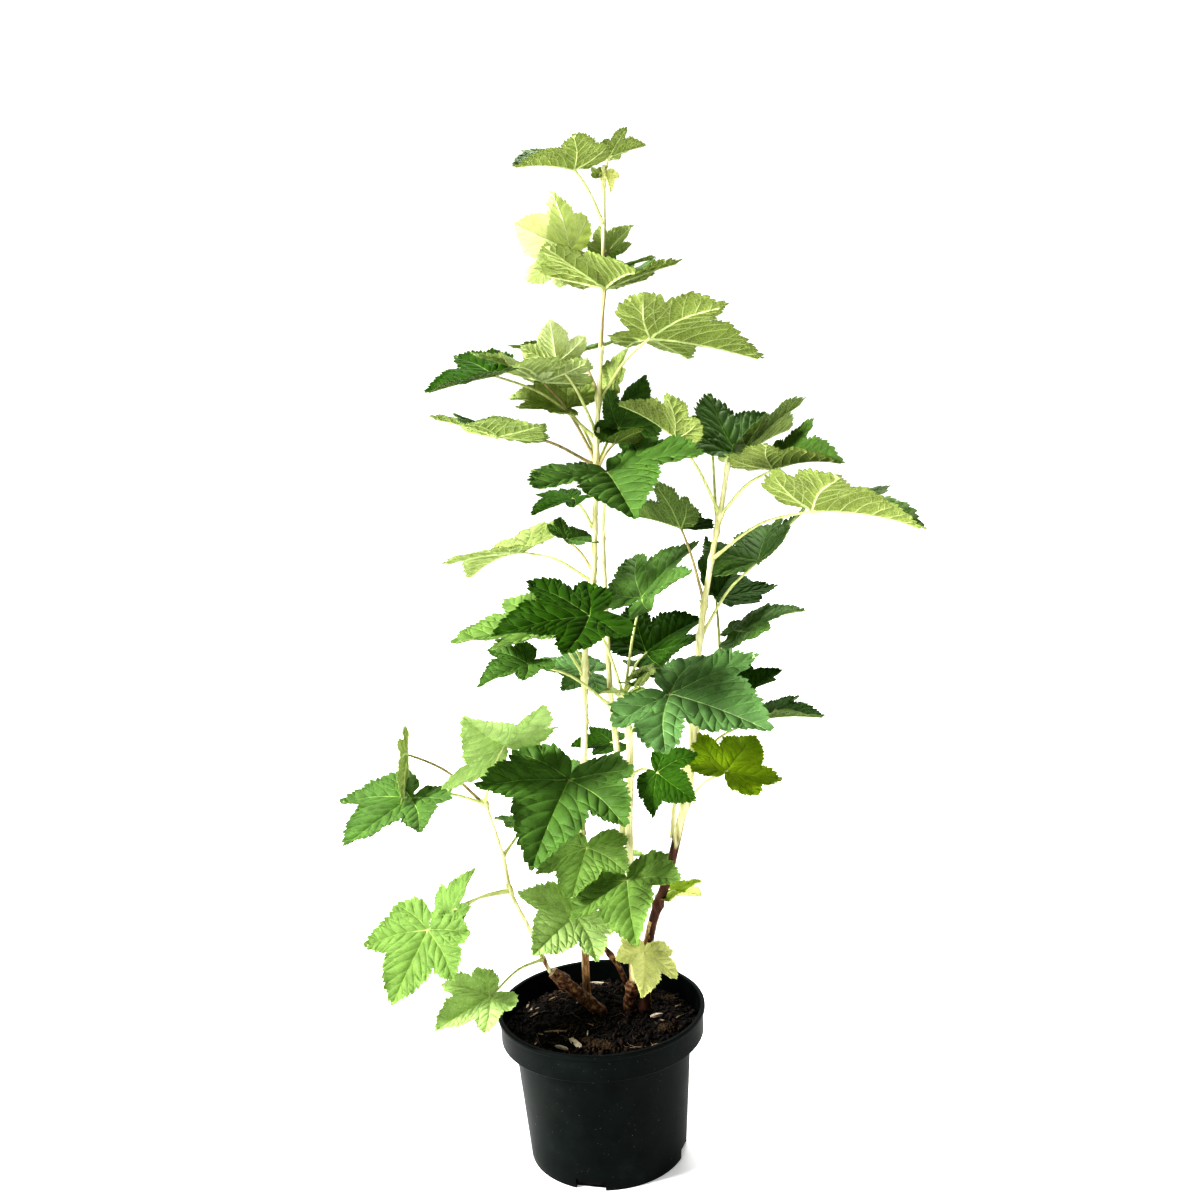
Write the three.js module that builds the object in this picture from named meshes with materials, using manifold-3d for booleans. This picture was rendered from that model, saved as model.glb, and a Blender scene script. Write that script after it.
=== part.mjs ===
// Young blackcurrant bush in a round plastic nursery pot.
// Millimetres, +Z up. The origin is the middle of the flat underside of the pot.
// +X is to the right of the front view and +Y points away from the viewer.
// Compass headings are degrees in the XY plane: 0 is +X, 90 is +Y, 270 is towards the viewer.

import * as THREE from 'three';
import { mergeVertices } from 'three/addons/utils/BufferGeometryUtils.js';
import Module from 'manifold-3d';

const wasm = await Module();
wasm.setup();

// Pot: a three litre nursery pot
const POT_HEIGHT = 140;
const POT_RIM_RADIUS = 95;
const POT_RIM_HEIGHT = 4;
const POT_RIM_ROUNDING = 1;
const POT_COLLAR_RADIUS = 93;
const POT_COLLAR_FOOT = 115;
const POT_COLLAR_ROUNDING = 2;
const POT_SHOULDER = 3;
const POT_BODY_TOP_RADIUS = 81;
const POT_FOOT_RADIUS = 72;
const POT_WALL = 2.2;
const POT_FLOOR = 3;
const POT_SIDES = 32;
const NOTCH_COUNT = 4;
const NOTCH_HEADING = 255;
const NOTCH_WIDTH = 27;
const NOTCH_HEIGHT = 9.5;
const NOTCH_INNER_RADIUS = 66;
const NOTCH_OUTER_RADIUS = 76;

// Compost
const SOIL_TOP = 128;
const SOIL_EDGE = 118;
const SOIL_FLAT_RADIUS = 50;

// Clearance between neighbouring solids
const GAP = 0.3;

// Stems and leaf stalks
const STEM_SIDES = 8;
const STEM_STEP = 32;
const FOOT_FLARE = 0.35;
const FOOT_FLARE_HEIGHT = 14;
const STALK_SIDES = 4;
const STALK_STEPS = 3;
const STALK_RADIUS = 1.15;
const STALK_BOW = 0.1;
const STALK_ROOT = 4;

// Leaf blades
const BLADE_THICKNESS_RATIO = 0.015;
const BLADE_HEART = 0.15;
const SIDE_DROOP = 0.5;
const LOBE_VARIATION = 0.07;
const DROOP_LEAST = 0.09;
const DROOP_RANGE = 0.07;
const SEED = 2026;

// Half of the blade's outline: degrees from the middle vein, distance from the stalk
// as a share of the middle lobe's length
const HALF_OUTLINE = [
  [0, 1], [12, 0.85], [27, 0.69], [38, 0.56], [47, 0.72], [56, 0.86],
  [74, 0.67], [86, 0.55], [100, 0.59], [138, 0.42], [162, 0.22], [180, 0.05],
];

const LIGHT_LEAVES_BELOW = 300;
const LEAF_ROUGHNESS = 0.6;
const COLOURS = {
  pot: 0x1d2123,
  soil: 0x2b1d14,
  oldWood: 0x5a4030,
  youngWood: 0xc9c08a,
  leafMid: 0x4c8a3c,
  leafLight: 0x86b95a,
};

// Stems: the middle line from foot to tip as [x, y, z], the radius at foot and at tip,
// the heights where the bare limb ends and each mass of foliage follows, and the leaves.
// A leaf is [height on the stem, heading and reach of its stalk, rise of its stalk,
// blade length, heading, pitch and roll of the blade, fold of each half].
const STEMS = {
  tall: {
    line: [[-13, 27, 128], [-12, 19, 200], [-9, 14, 300], [-1, 12, 393], [4, 10, 469],
      [15, 8, 540], [23, 6, 643], [31, 5, 725], [38, 4, 812], [42, 2, 880]],
    radii: [3.8, 1.5],
    cuts: [200, 400, 500, 570, 712],
    leaves: [
      [210, 260, 41, 26, 64, 237, -5, -30, 10],
      [240, 70, 40, 20, 60, 60, -5, 0, 12],
      [284, 283, 22, 9, 60, 252, -22, 7, 1],
      [300, 95, 46, 30, 75, 100, 4, 0, 12],
      [332, 257, 45, 32, 99, 248, -22, -10, 14],
      [405, 82, 53, 32, 55, 184, 18, -16, 0],
      [445, 199, 35, 49, 84, 175, -3, -16, 12],
      [455, 125, 40, 30, 68, 142, 6, 0, 12],
      [531, 170, 61, 28, 81, 135, -6, -9, 18],
      [540, 174, 22, 29, 36, 50, 4, 24, 15],
      [552, 84, 52, 64, 74, 94, 3, 0, 12],
      [576, 212, 19, 29, 44, 213, -5, -6, 12],
      [625, 319, 22, 26, 34, 32, 3, 0, 30],
      [629, 39, 28, 34, 51, 355, 59, 125, 22],
      [632, 194, 84, 30, 73, 252, 23, -9, 9],
      [636, 182, 42, 70, 74, 255, 23, -11, 16],
      [642, 157, 25, 40, 59, 154, 20, -25, 23],
      [655, 181, 84, 58, 60, 186, -6, -15, 20],
      [659, 213, 37, 62, 38, 249, 74, 23, 5],
      [685, 347, 47, 52, 98, 5, -7, -16, 14],
      [690, 46, 18, 12, 32, 343, 70, 43, 8],
      [692, 120, 35, 38, 70, 130, 0, 0, 12],
      [728, 313, 10, 52, 88, 285, 12, -5, 21],
      [770, 75, 25, 27, 55, 70, 10, 0, 12],
      [799, 175, 27, 15, 57, 208, 21, 80, 19],
      [801, 72, 14, 10, 32, 341, 47, -33, 22],
      [833, 190, 22, 44, 60, 215, 9, -2, 29],
      [868, 37, 7, 19, 34, 16, 19, -19, 19],
    ],
  },
  middle: {
    line: [[28, -0.8, 298], [27, -6, 374], [24, -10, 431], [23.5, -14, 480], [24, -15, 580]],
    radii: [3, 2],
    cuts: [335],
    leaves: [
      [352, 95, 34, 26, 39, 182, 3, -10, 6],
      [422, 203, 76, 49, 48, 211, -4, -16, 18],
      [572, 296, 16, 55, 100, 278, -7, 11, 15],
    ],
  },
  front: {
    line: [[32, 4, 160], [33, -2, 275], [34, -7, 318], [37, -11, 358], [38, -15, 403],
      [35, -17, 436]],
    radii: [4.8, 2.6],
    cuts: [255, 345],
    leaves: [
      [270, 264, 34, 1, 76, 268, -11, 20, 11],
      [360, 303, 41, 11, 44, 303, -17, 60, 0],
      [397, 309, 55, 44, 100, 316, -2, 19, 5],
      [431, 243, 59, 83, 82, 198, 2, -21, 8],
      [432, 57, 39, 81, 73, 20, 45, 6, 15],
      [434, 67, 62, 24, 68, 29, 29, 17, 20],
    ],
  },
  right: {
    line: [[40, 10, 128], [48, 10, 199], [67, 8, 256], [80, 5, 305], [91, 4, 350],
      [104, 2, 468], [116, 1, 536], [128, 0, 590], [136, 0, 632]],
    radii: [5, 2],
    cuts: [185, 300, 450, 545],
    leaves: [
      [190, 257, 24, 4, 44, 266, -27, -26, 9],
      [229, 47, 21, 6, 35, 313, 11, 9, 5],
      [324, 322, 46, 37, 62, 55, 20, 23, 0],
      [400, 95, 40, 35, 70, 105, 5, 0, 12],
      [478, 4, 54, 63, 75, 75, 23, -26, 23],
      [505, 148, 20, 68, 56, 139, 17, 31, 41],
      [546, 329, 93, 42, 96, 328, 2, -14, 24],
      [570, 85, 42, 66, 70, 80, 4, 0, 12],
      [583, 323, 54, 40, 67, 313, 19, 11, 35],
      [585, 196, 38, 67, 58, 160, 44, 29, 33],
      [625, 10, 11, 8, 92, 50, 18, -1, 44],
    ],
  },
  side: {
    line: [[73, 14, 290], [79, 22, 326], [96, 28, 370], [116, 30, 420], [128, 30, 460]],
    radii: [2.2, 1.5],
    cuts: [338],
    leaves: [
      [350, 350, 68, 46, 62, 334, 16, -6, 16],
      [413, 349, 36, 9, 38, 19, 25, 9, 26],
      [452, 87, 32, 49, 72, 69, 13, 37, 40],
      [455, 6, 18, 19, 61, 350, 29, 5, 0],
    ],
  },
  left: {
    line: [[-45, 5.5, 172], [-49, 4, 182], [-62, 0, 219], [-75, -4, 254], [-80, -6, 290],
      [-91, -9, 336], [-93, -10, 343]],
    radii: [2, 1.4],
    cuts: [172, 250],
    leaves: [
      [186, 226, 68, -11, 55, 211, -10, -12, 13],
      [256, 208, 81, -16, 69, 229, -44, -15, 6],
      [290, 50, 42, 16, 48, 105, 0, 0, 12],
      [339, 181, 65, 51, 64, 156, -85, -27, 8],
      [341, 201, 66, 16, 76, 226, -13, -5, 9],
      [342, 319, 29, 57, 77, 252, 24, -145, 12],
      [258, 196, 59, -19, 50, 29, 64, -3, 5],
    ],
  },
};

// Old wood at the foot of the bush: middle line, radii at foot and top
const STUB = { line: [[-1, 9, 128], [-20, 8, 148], [-43, 6, 172]], radii: [6.5, 5] };
const STUMP = { line: [[25, 13, 128], [28, 9, 144], [32, 4, 160]], radii: [5.5, 5] };
const DEAD_TWIG = { line: [[29, 27, 128], [24, 20, 150], [17, 17, 170], [5, 16, 189]], radii: [3, 2.2] };

// Seeded random numbers between 0 and 1
function seeded(seed) {
  let state = seed >>> 0;
  return () => {
    state = (state + 0x6d2b79f5) >>> 0;
    let t = state;
    t = Math.imul(t ^ (t >>> 15), t | 1);
    t ^= t + Math.imul(t ^ (t >>> 7), t | 61);
    return ((t ^ (t >>> 14)) >>> 0) / 4294967296;
  };
}

const radians = THREE.MathUtils.degToRad;

function vector(point) {
  return new THREE.Vector3(...point);
}

// Solids are joined and cut as manifolds, and shown as meshes
function toSolid(geometry) {
  const bare = geometry.clone();
  bare.deleteAttribute('normal');
  bare.deleteAttribute('uv');
  const merged = mergeVertices(bare, 1e-4);
  return new wasm.Manifold(new wasm.Mesh({
    numProp: 3,
    vertProperties: new Float32Array(merged.attributes.position.array),
    triVerts: new Uint32Array(merged.index.array),
  }));
}

function toGeometry(solid) {
  const mesh = solid.getMesh();
  const geometry = new THREE.BufferGeometry();
  geometry.setAttribute('position', new THREE.BufferAttribute(mesh.vertProperties, 3));
  geometry.setIndex(new THREE.BufferAttribute(mesh.triVerts, 1));
  geometry.computeVertexNormals();
  return geometry;
}

function addPiece(group, name, geometry, colour, roughness) {
  const material = new THREE.MeshStandardMaterial({ color: colour, roughness, metalness: 0 });
  const mesh = new THREE.Mesh(geometry, material);
  mesh.name = name;
  group.add(mesh);
}

// A turned shape standing on +Z, from [radius, height] pairs
function turned(profile, sides) {
  const points = profile.map(([radius, height]) => new THREE.Vector2(radius, height));
  return new THREE.LatheGeometry(points, sides).rotateX(Math.PI / 2);
}

// A tapering body with a collar and a thin rim, and drain notches round its foot
function makePot() {
  const bodyTop = POT_COLLAR_FOOT - POT_SHOULDER;
  const collarLow = POT_COLLAR_FOOT + POT_COLLAR_ROUNDING;
  const outside = [
    [0, 0], [POT_FOOT_RADIUS, 0], [POT_BODY_TOP_RADIUS, bodyTop],
    [POT_COLLAR_RADIUS - POT_COLLAR_ROUNDING / 2, POT_COLLAR_FOOT],
    [POT_COLLAR_RADIUS, collarLow],
    [POT_COLLAR_RADIUS, POT_HEIGHT - POT_RIM_HEIGHT - POT_RIM_ROUNDING],
    [POT_RIM_RADIUS, POT_HEIGHT - POT_RIM_HEIGHT],
    [POT_RIM_RADIUS, POT_HEIGHT - POT_RIM_ROUNDING],
    [POT_RIM_RADIUS - POT_RIM_ROUNDING, POT_HEIGHT],
  ];
  const inside = [
    [POT_COLLAR_RADIUS - POT_WALL, POT_HEIGHT], [POT_COLLAR_RADIUS - POT_WALL, collarLow],
    [POT_BODY_TOP_RADIUS - POT_WALL, bodyTop],
    [POT_FOOT_RADIUS - POT_WALL, POT_FLOOR], [0, POT_FLOOR],
  ];
  let pot = toSolid(turned([...outside, ...inside], POT_SIDES));
  const depth = NOTCH_OUTER_RADIUS - NOTCH_INNER_RADIUS;
  for (let i = 0; i < NOTCH_COUNT; i++) {
    const notch = new THREE.BoxGeometry(depth, NOTCH_WIDTH, 2 * NOTCH_HEIGHT);
    notch.translate(NOTCH_INNER_RADIUS + depth / 2, 0, 0);
    notch.rotateZ(radians(NOTCH_HEADING + (360 / NOTCH_COUNT) * i));
    pot = pot.subtract(toSolid(notch));
  }
  return toGeometry(pot);
}

// Compost fills the pot and is heaped a little in the middle
function makeSoil() {
  const wall = POT_WALL + GAP;
  const edge = POT_COLLAR_RADIUS - wall;
  return turned([
    [0, POT_FLOOR + GAP], [POT_FOOT_RADIUS - wall, POT_FLOOR + GAP],
    [POT_BODY_TOP_RADIUS - wall, POT_COLLAR_FOOT - POT_SHOULDER + GAP],
    [edge, POT_COLLAR_FOOT + POT_COLLAR_ROUNDING + GAP], [edge, SOIL_EDGE],
    [(edge + SOIL_FLAT_RADIUS) / 2, (SOIL_EDGE + 2 * SOIL_TOP) / 3],
    [SOIL_FLAT_RADIUS, SOIL_TOP], [0, SOIL_TOP],
  ], POT_SIDES);
}

// A stem's middle line is straight between its listed points
function pointAtHeight(line, height) {
  for (let i = 1; i < line.length; i++) {
    if (height <= line[i][2] || i === line.length - 1) {
      const [low, high] = [line[i - 1], line[i]];
      const share = (height - low[2]) / (high[2] - low[2]);
      return vector(low).lerp(vector(high), share);
    }
  }
  return vector(line[0]);
}

function radiusAtHeight(stem, height) {
  const foot = stem.line[0][2];
  const tip = stem.line[stem.line.length - 1][2];
  const share = (height - foot) / (tip - foot);
  const [thick, thin] = stem.radii;
  return thick + (thin - thick) * share;
}

// A length of stem between two heights, with level ends
function stemLength(stem, low, high, flare) {
  const steps = Math.max(1, Math.round((high - low) / STEM_STEP));
  const shape = new THREE.CylinderGeometry(1, 1, 1, STEM_SIDES, steps);
  const place = shape.attributes.position;
  for (let i = 0; i < place.count; i++) {
    const height = low + (place.getY(i) + 0.5) * (high - low);
    const middle = pointAtHeight(stem.line, height);
    const spread = flare ? FOOT_FLARE * Math.max(0, 1 - (height - low) / FOOT_FLARE_HEIGHT) : 0;
    const radius = radiusAtHeight(stem, height) * (1 + spread);
    place.setXYZ(i, middle.x + place.getX(i) * radius, middle.y - place.getZ(i) * radius, height);
  }
  return shape;
}

// A leaf stalk: a thin square tube, bowed upwards, that runs on a little into the blade
function stalk(root, joint, towards) {
  const middle = root.clone().lerp(joint, 0.5);
  middle.z += STALK_BOW * root.distanceTo(joint);
  const end = joint.clone().addScaledVector(towards, STALK_ROOT);
  const path = new THREE.CatmullRomCurve3([root, middle, joint, end]);
  const section = new THREE.Shape();
  for (let i = 0; i < STALK_SIDES; i++) {
    const turn = ((i + 0.5) / STALK_SIDES) * 2 * Math.PI;
    const corner = [STALK_RADIUS * Math.cos(turn), STALK_RADIUS * Math.sin(turn)];
    if (i === 0) section.moveTo(...corner);
    else section.lineTo(...corner);
  }
  section.closePath();
  return new THREE.ExtrudeGeometry(section, {
    steps: STALK_STEPS, bevelEnabled: false, extrudePath: path,
  });
}

// The blade's outline with its two halves grown a little unevenly
function bladeOutline(leftGrowth, rightGrowth) {
  const corner = ([angle, reach], side, growth) => {
    const length = reach * (1 + growth * Math.sin(radians(angle)));
    const turn = radians(angle);
    return [length * Math.cos(turn), side * length * Math.sin(turn)];
  };
  const left = HALF_OUTLINE.map((row) => corner(row, 1, leftGrowth));
  const right = HALF_OUTLINE.slice(1, -1).reverse().map((row) => corner(row, -1, rightGrowth));
  return [...left, ...right];
}

// The blade folds up along its middle vein and droops towards its lobes' tips
function bentBlade([along, across], fold, droop) {
  const angle = radians(fold);
  const lift = Math.abs(across) * Math.sin(angle);
  const sag = droop * (Math.max(along, 0) ** 2 + SIDE_DROOP * across ** 2);
  return [along, across * Math.cos(angle), lift - sag];
}

// Directions of a blade: along the middle vein, to its left, and up through it
function bladeAxes(heading, pitch, roll) {
  const [turn, tilt, twist] = [radians(heading), radians(pitch), radians(roll)];
  const along = new THREE.Vector3(
    Math.cos(turn) * Math.cos(tilt), Math.sin(turn) * Math.cos(tilt), Math.sin(tilt));
  const level = new THREE.Vector3(-Math.sin(turn), Math.cos(turn), 0);
  const upright = new THREE.Vector3().crossVectors(along, level);
  const left = level.clone().multiplyScalar(Math.cos(twist))
    .addScaledVector(upright, Math.sin(twist));
  const up = upright.clone().multiplyScalar(Math.cos(twist))
    .addScaledVector(level, -Math.sin(twist));
  return { along, left, up };
}

function blade(joint, length, axes, fold, droop, outline) {
  const count = outline.length;
  const half = (BLADE_THICKNESS_RATIO * length) / 2;
  const corners = [[BLADE_HEART, 0], ...outline].map((spot) => {
    const [along, across, lift] = bentBlade(spot, fold, droop);
    return joint.clone().addScaledVector(axes.along, along * length)
      .addScaledVector(axes.left, across * length).addScaledVector(axes.up, lift * length);
  });
  const upper = corners.map((p) => p.clone().addScaledVector(axes.up, half));
  const lower = corners.map((p) => p.clone().addScaledVector(axes.up, -half));
  const below = count + 1;
  const faces = [];
  for (let i = 0; i < count; i++) {
    const here = i + 1;
    const next = ((i + 1) % count) + 1;
    faces.push(0, here, next, below, below + next, below + here);
    faces.push(here, below + here, next, next, below + here, below + next);
  }
  const shape = new THREE.BufferGeometry().setFromPoints([...upper, ...lower]);
  shape.setIndex(faces);
  return shape;
}

// One leaf: stalk and blade, as solids that are joined to the stem
function leafSolids(stem, row, random) {
  const [height, stalkHeading, reach, rise, length, heading, pitch, roll, fold] = row;
  const droop = DROOP_LEAST + DROOP_RANGE * random();
  const leftGrowth = LOBE_VARIATION * (2 * random() - 1);
  const rightGrowth = LOBE_VARIATION * (2 * random() - 1);
  const root = pointAtHeight(stem.line, height);
  const joint = root.clone().add(new THREE.Vector3(
    reach * Math.cos(radians(stalkHeading)), reach * Math.sin(radians(stalkHeading)), rise));
  const axes = bladeAxes(heading, pitch, roll);
  const outline = bladeOutline(leftGrowth, rightGrowth);
  return [
    toSolid(stalk(root, joint, axes.along)),
    toSolid(blade(joint, length, axes, fold, droop, outline)),
  ];
}

// Each stem is a bare limb, then masses of foliage that follow one another up its line
function addStem(group, name, stem, random, bare) {
  const foot = stem.line[0][2];
  const tip = stem.line[stem.line.length - 1][2];
  const limits = [...stem.cuts, tip];
  if (bare) {
    const limb = stemLength(stem, foot + GAP, stem.cuts[0] - GAP / 2, foot === SOIL_TOP);
    addPiece(group, `stem_${name}`, limb, COLOURS.youngWood, 0.7);
  }
  for (let i = 0; i + 1 < limits.length; i++) {
    const [low, high] = [limits[i], limits[i + 1]];
    let mass = toSolid(stemLength(stem, low + GAP / 2, high - (high === tip ? 0 : GAP / 2), false));
    for (const row of stem.leaves) {
      const top = high === tip ? Infinity : high;
      if (row[0] < low || row[0] >= top) continue;
      for (const solid of leafSolids(stem, row, random)) mass = mass.add(solid);
    }
    const colour = low < LIGHT_LEAVES_BELOW ? COLOURS.leafLight : COLOURS.leafMid;
    addPiece(group, `foliage_${name}_${i + 1}`, toGeometry(mass), colour, LEAF_ROUGHNESS);
  }
}

function addOldWood(group) {
  const limbs = { stub_left: STUB, stump_front: STUMP, dead_twig: DEAD_TWIG };
  for (const [name, limb] of Object.entries(limbs)) {
    const foot = limb.line[0][2];
    const top = limb.line[limb.line.length - 1][2];
    const shape = stemLength(limb, foot + GAP, top - GAP / 2, foot === SOIL_TOP);
    addPiece(group, name, shape, COLOURS.oldWood, 0.9);
  }
}

const group = new THREE.Group();
addPiece(group, 'pot', makePot(), COLOURS.pot, 0.45);
addPiece(group, 'soil', makeSoil(), COLOURS.soil, 1);
addOldWood(group);
const random = seeded(SEED);
for (const [name, stem] of Object.entries(STEMS)) {
  addStem(group, name, stem, random, name !== 'left');
}

export default group;
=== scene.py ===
"""Young blackcurrant bush in a nursery pot: leaves, bark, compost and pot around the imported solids.

Sizes are in millimetres until a mesh is made, which is in metres. The stems and the leaf rows are
those of the part's source, and the leaves grow by the same rule, with the same seeded numbers.
"""

import itertools
import math

import bpy
import numpy as np
from mathutils import Matrix, Vector, geometry


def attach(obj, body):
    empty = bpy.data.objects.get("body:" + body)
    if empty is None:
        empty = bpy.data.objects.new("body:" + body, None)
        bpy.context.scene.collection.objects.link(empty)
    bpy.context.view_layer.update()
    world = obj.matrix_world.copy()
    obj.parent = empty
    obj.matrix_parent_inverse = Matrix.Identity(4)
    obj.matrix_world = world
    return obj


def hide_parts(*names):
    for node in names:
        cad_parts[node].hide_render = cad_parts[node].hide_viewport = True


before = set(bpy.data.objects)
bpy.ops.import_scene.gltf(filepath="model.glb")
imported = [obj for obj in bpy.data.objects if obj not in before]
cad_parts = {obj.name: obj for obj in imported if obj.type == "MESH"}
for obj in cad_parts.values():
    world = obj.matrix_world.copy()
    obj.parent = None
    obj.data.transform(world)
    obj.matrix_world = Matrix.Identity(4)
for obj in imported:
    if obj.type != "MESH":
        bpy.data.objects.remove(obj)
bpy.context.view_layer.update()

MM = 0.001

# Camera: place in metres, turn to the right, tilt down and roll in degrees
CAMERA_PLACE = (0.0, -1.119, 0.700)
CAMERA_TURN = 0.98
CAMERA_TILT = 9.34
CAMERA_ROLL = -3.13
CAMERA_LENS = 39.0
CAMERA_SENSOR = 36.0

# Pot
POT_HEIGHT = 140
POT_RIM_RADIUS = 95
POT_RIM_HEIGHT = 4
POT_COLLAR_RADIUS = 93
POT_COLLAR_FOOT = 115
POT_SHOULDER = 3
POT_BODY_TOP_RADIUS = 81
POT_FOOT_RADIUS = 72
POT_WALL = 2.2
POT_FLOOR = 3
POT_SIDES = 192
POT_SHARP_ANGLE = 35
POT_ROUNDING = 1.2
NOTCH_COUNT = 4
NOTCH_HEADING = 255
NOTCH_WIDTH = 27
NOTCH_HEIGHT = 9.5
NOTCH_CLEAR = 1.5
NOTCH_INNER_RADIUS = 66
NOTCH_OUTER_RADIUS = 76
BOX_FACES = [(0, 1, 3, 2), (4, 6, 7, 5), (0, 4, 5, 1), (2, 3, 7, 6), (0, 2, 6, 4), (1, 5, 7, 3)]

# Compost
SOIL_TOP = 128
SOIL_EDGE = 118
SOIL_FLAT_RADIUS = 50
SOIL_RADIUS = 90.6
SOIL_SIDE = ((90.4, 116), (78.2, 111.5), (69.5, 4))
SOIL_RINGS = 90
SOIL_SPOKES = 220
SOIL_ROUGHNESS = 1.6
SOIL_WAVES = 40
SOIL_WAVE_LENGTHS = (3.5, 40)

# Leaves
HALF_OUTLINE = [
    (0, 1), (10, 0.87), (19, 0.765), (29, 0.675), (38, 0.56), (47, 0.72), (56, 0.86),
    (66, 0.755), (76, 0.66), (86, 0.55), (100, 0.6), (120, 0.52), (138, 0.42), (162, 0.22),
    (180, 0.05),
]
SINUSES = (38, 86)
SIDE_LOBE = 56
BASE_LOBE = 102
TOOTH = ((0.0, 0.05), (0.22, 0.42), (0.50, 0.74), (0.78, 0.93), (0.93, 1.0), (0.98, 0.55))
OUTLINE_CORNERS = (0, SINUSES[0], SIDE_LOBE, SINUSES[1], 180)
TEETH_ONWARDS = ((SINUSES[0], SIDE_LOBE), (SINUSES[1], BASE_LOBE))
LOBE_VARIATION = 0.07
DROOP_LEAST = 0.09
DROOP_RANGE = 0.07
SIDE_DROOP = 0.5
SEED = 2026
LEAF_THICKNESS = 0.45
BIG_TOOTH = (0.084, 0.043)
SMALL_TOOTH = (0.048, 0.022)
TOOTHLESS_FROM = 160
TOOTH_FADE = 15
TOOTH_MIDDLE = 0.35
TIP_CLEARANCE = 0.012
GRID_STEP = 0.031
MAIN_VEIN_WIDTHS = (0.0080, 0.0026)
SIDE_VEIN_WIDTHS = (0.0036, 0.0016)
FORK_WIDTHS = (0.0022, 0.0011)
NET_SCALE = 400
NET_WIDTH = 0.16
NET_SHARE = 0.32
SIDE_VEIN_SPACING = 0.145
SIDE_VEIN_ANGLES = (54, 36)
SIDE_VEIN_BEND = 1.1
SIDE_VEIN_BERTH = 0.035
FORK_PLACES = (0.38, 0.66)
FORK_ANGLE = 36
FORK_BEND = 1.5
FORK_BERTH = 0.022
VEIN_STEP = 0.02
VEIN_STEPS = 30
PLEAT = 0.050
PLEAT_WIDTH = 0.15
QUILT = 0.021
QUILT_WIDTH = 0.022
RUFFLE = 0.028
RUFFLE_WAVES = (5, 9, 16)
RUFFLE_WIDTH = 0.09
LOBE_CURL = (-0.12, 0.06)
LOBE_CURL_ANGLE = 24
TWIST = 0.12
LEAF_BUMP = (0.4, 0.0006)
YOUNG_DROOP = 0.3
LIGHT_BELOW = 300

# Stalks and bark
STALK_RADII = (1.5, 1.0)
STALK_BOW = 0.1
STALK_ROOT = 4
STALK_SIDES = 10
STALK_RINGS = 18
STALK_FOOT_SWELLING = 0.9
STALK_FOOT_SHARE = 0.07
STALK_END_RADIUS = 0.3
RED_STALKS = 0.3
BARK_SIDES = 28
BARK_STEP = 1.8
BARK_RIBS = (3, 5, 8, 13)
YOUNG_BARK_RELIEF = 0.035
OLD_BARK_RELIEF = 0.10
OLD_BARK_STEP = 1.2
OLD_BARK_KNOT = 9
FOOT_FLARE = 0.35
FOOT_FLARE_HEIGHT = 14
OLD_BARK_SWAY = 0.16
OLD_BARK_EDGE = 0.006
NODE_SWELLING = 0.36
NODE_LENGTH = 3.6
# Sides of the stems' bark, on the right and away from the key light, that take a brown streak of
# painted shade
SHADE_STREAK_SIDES = (13, 14)
BARE_PATCH = {"right": (186, 213)}
BARE_PATCH_SIDES = (2, 3, 4, 5, 6, 7)
BUD_LENGTH = 5.0
BUD_RADIUS = 1.5
BUD_SIDES = 8

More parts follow.
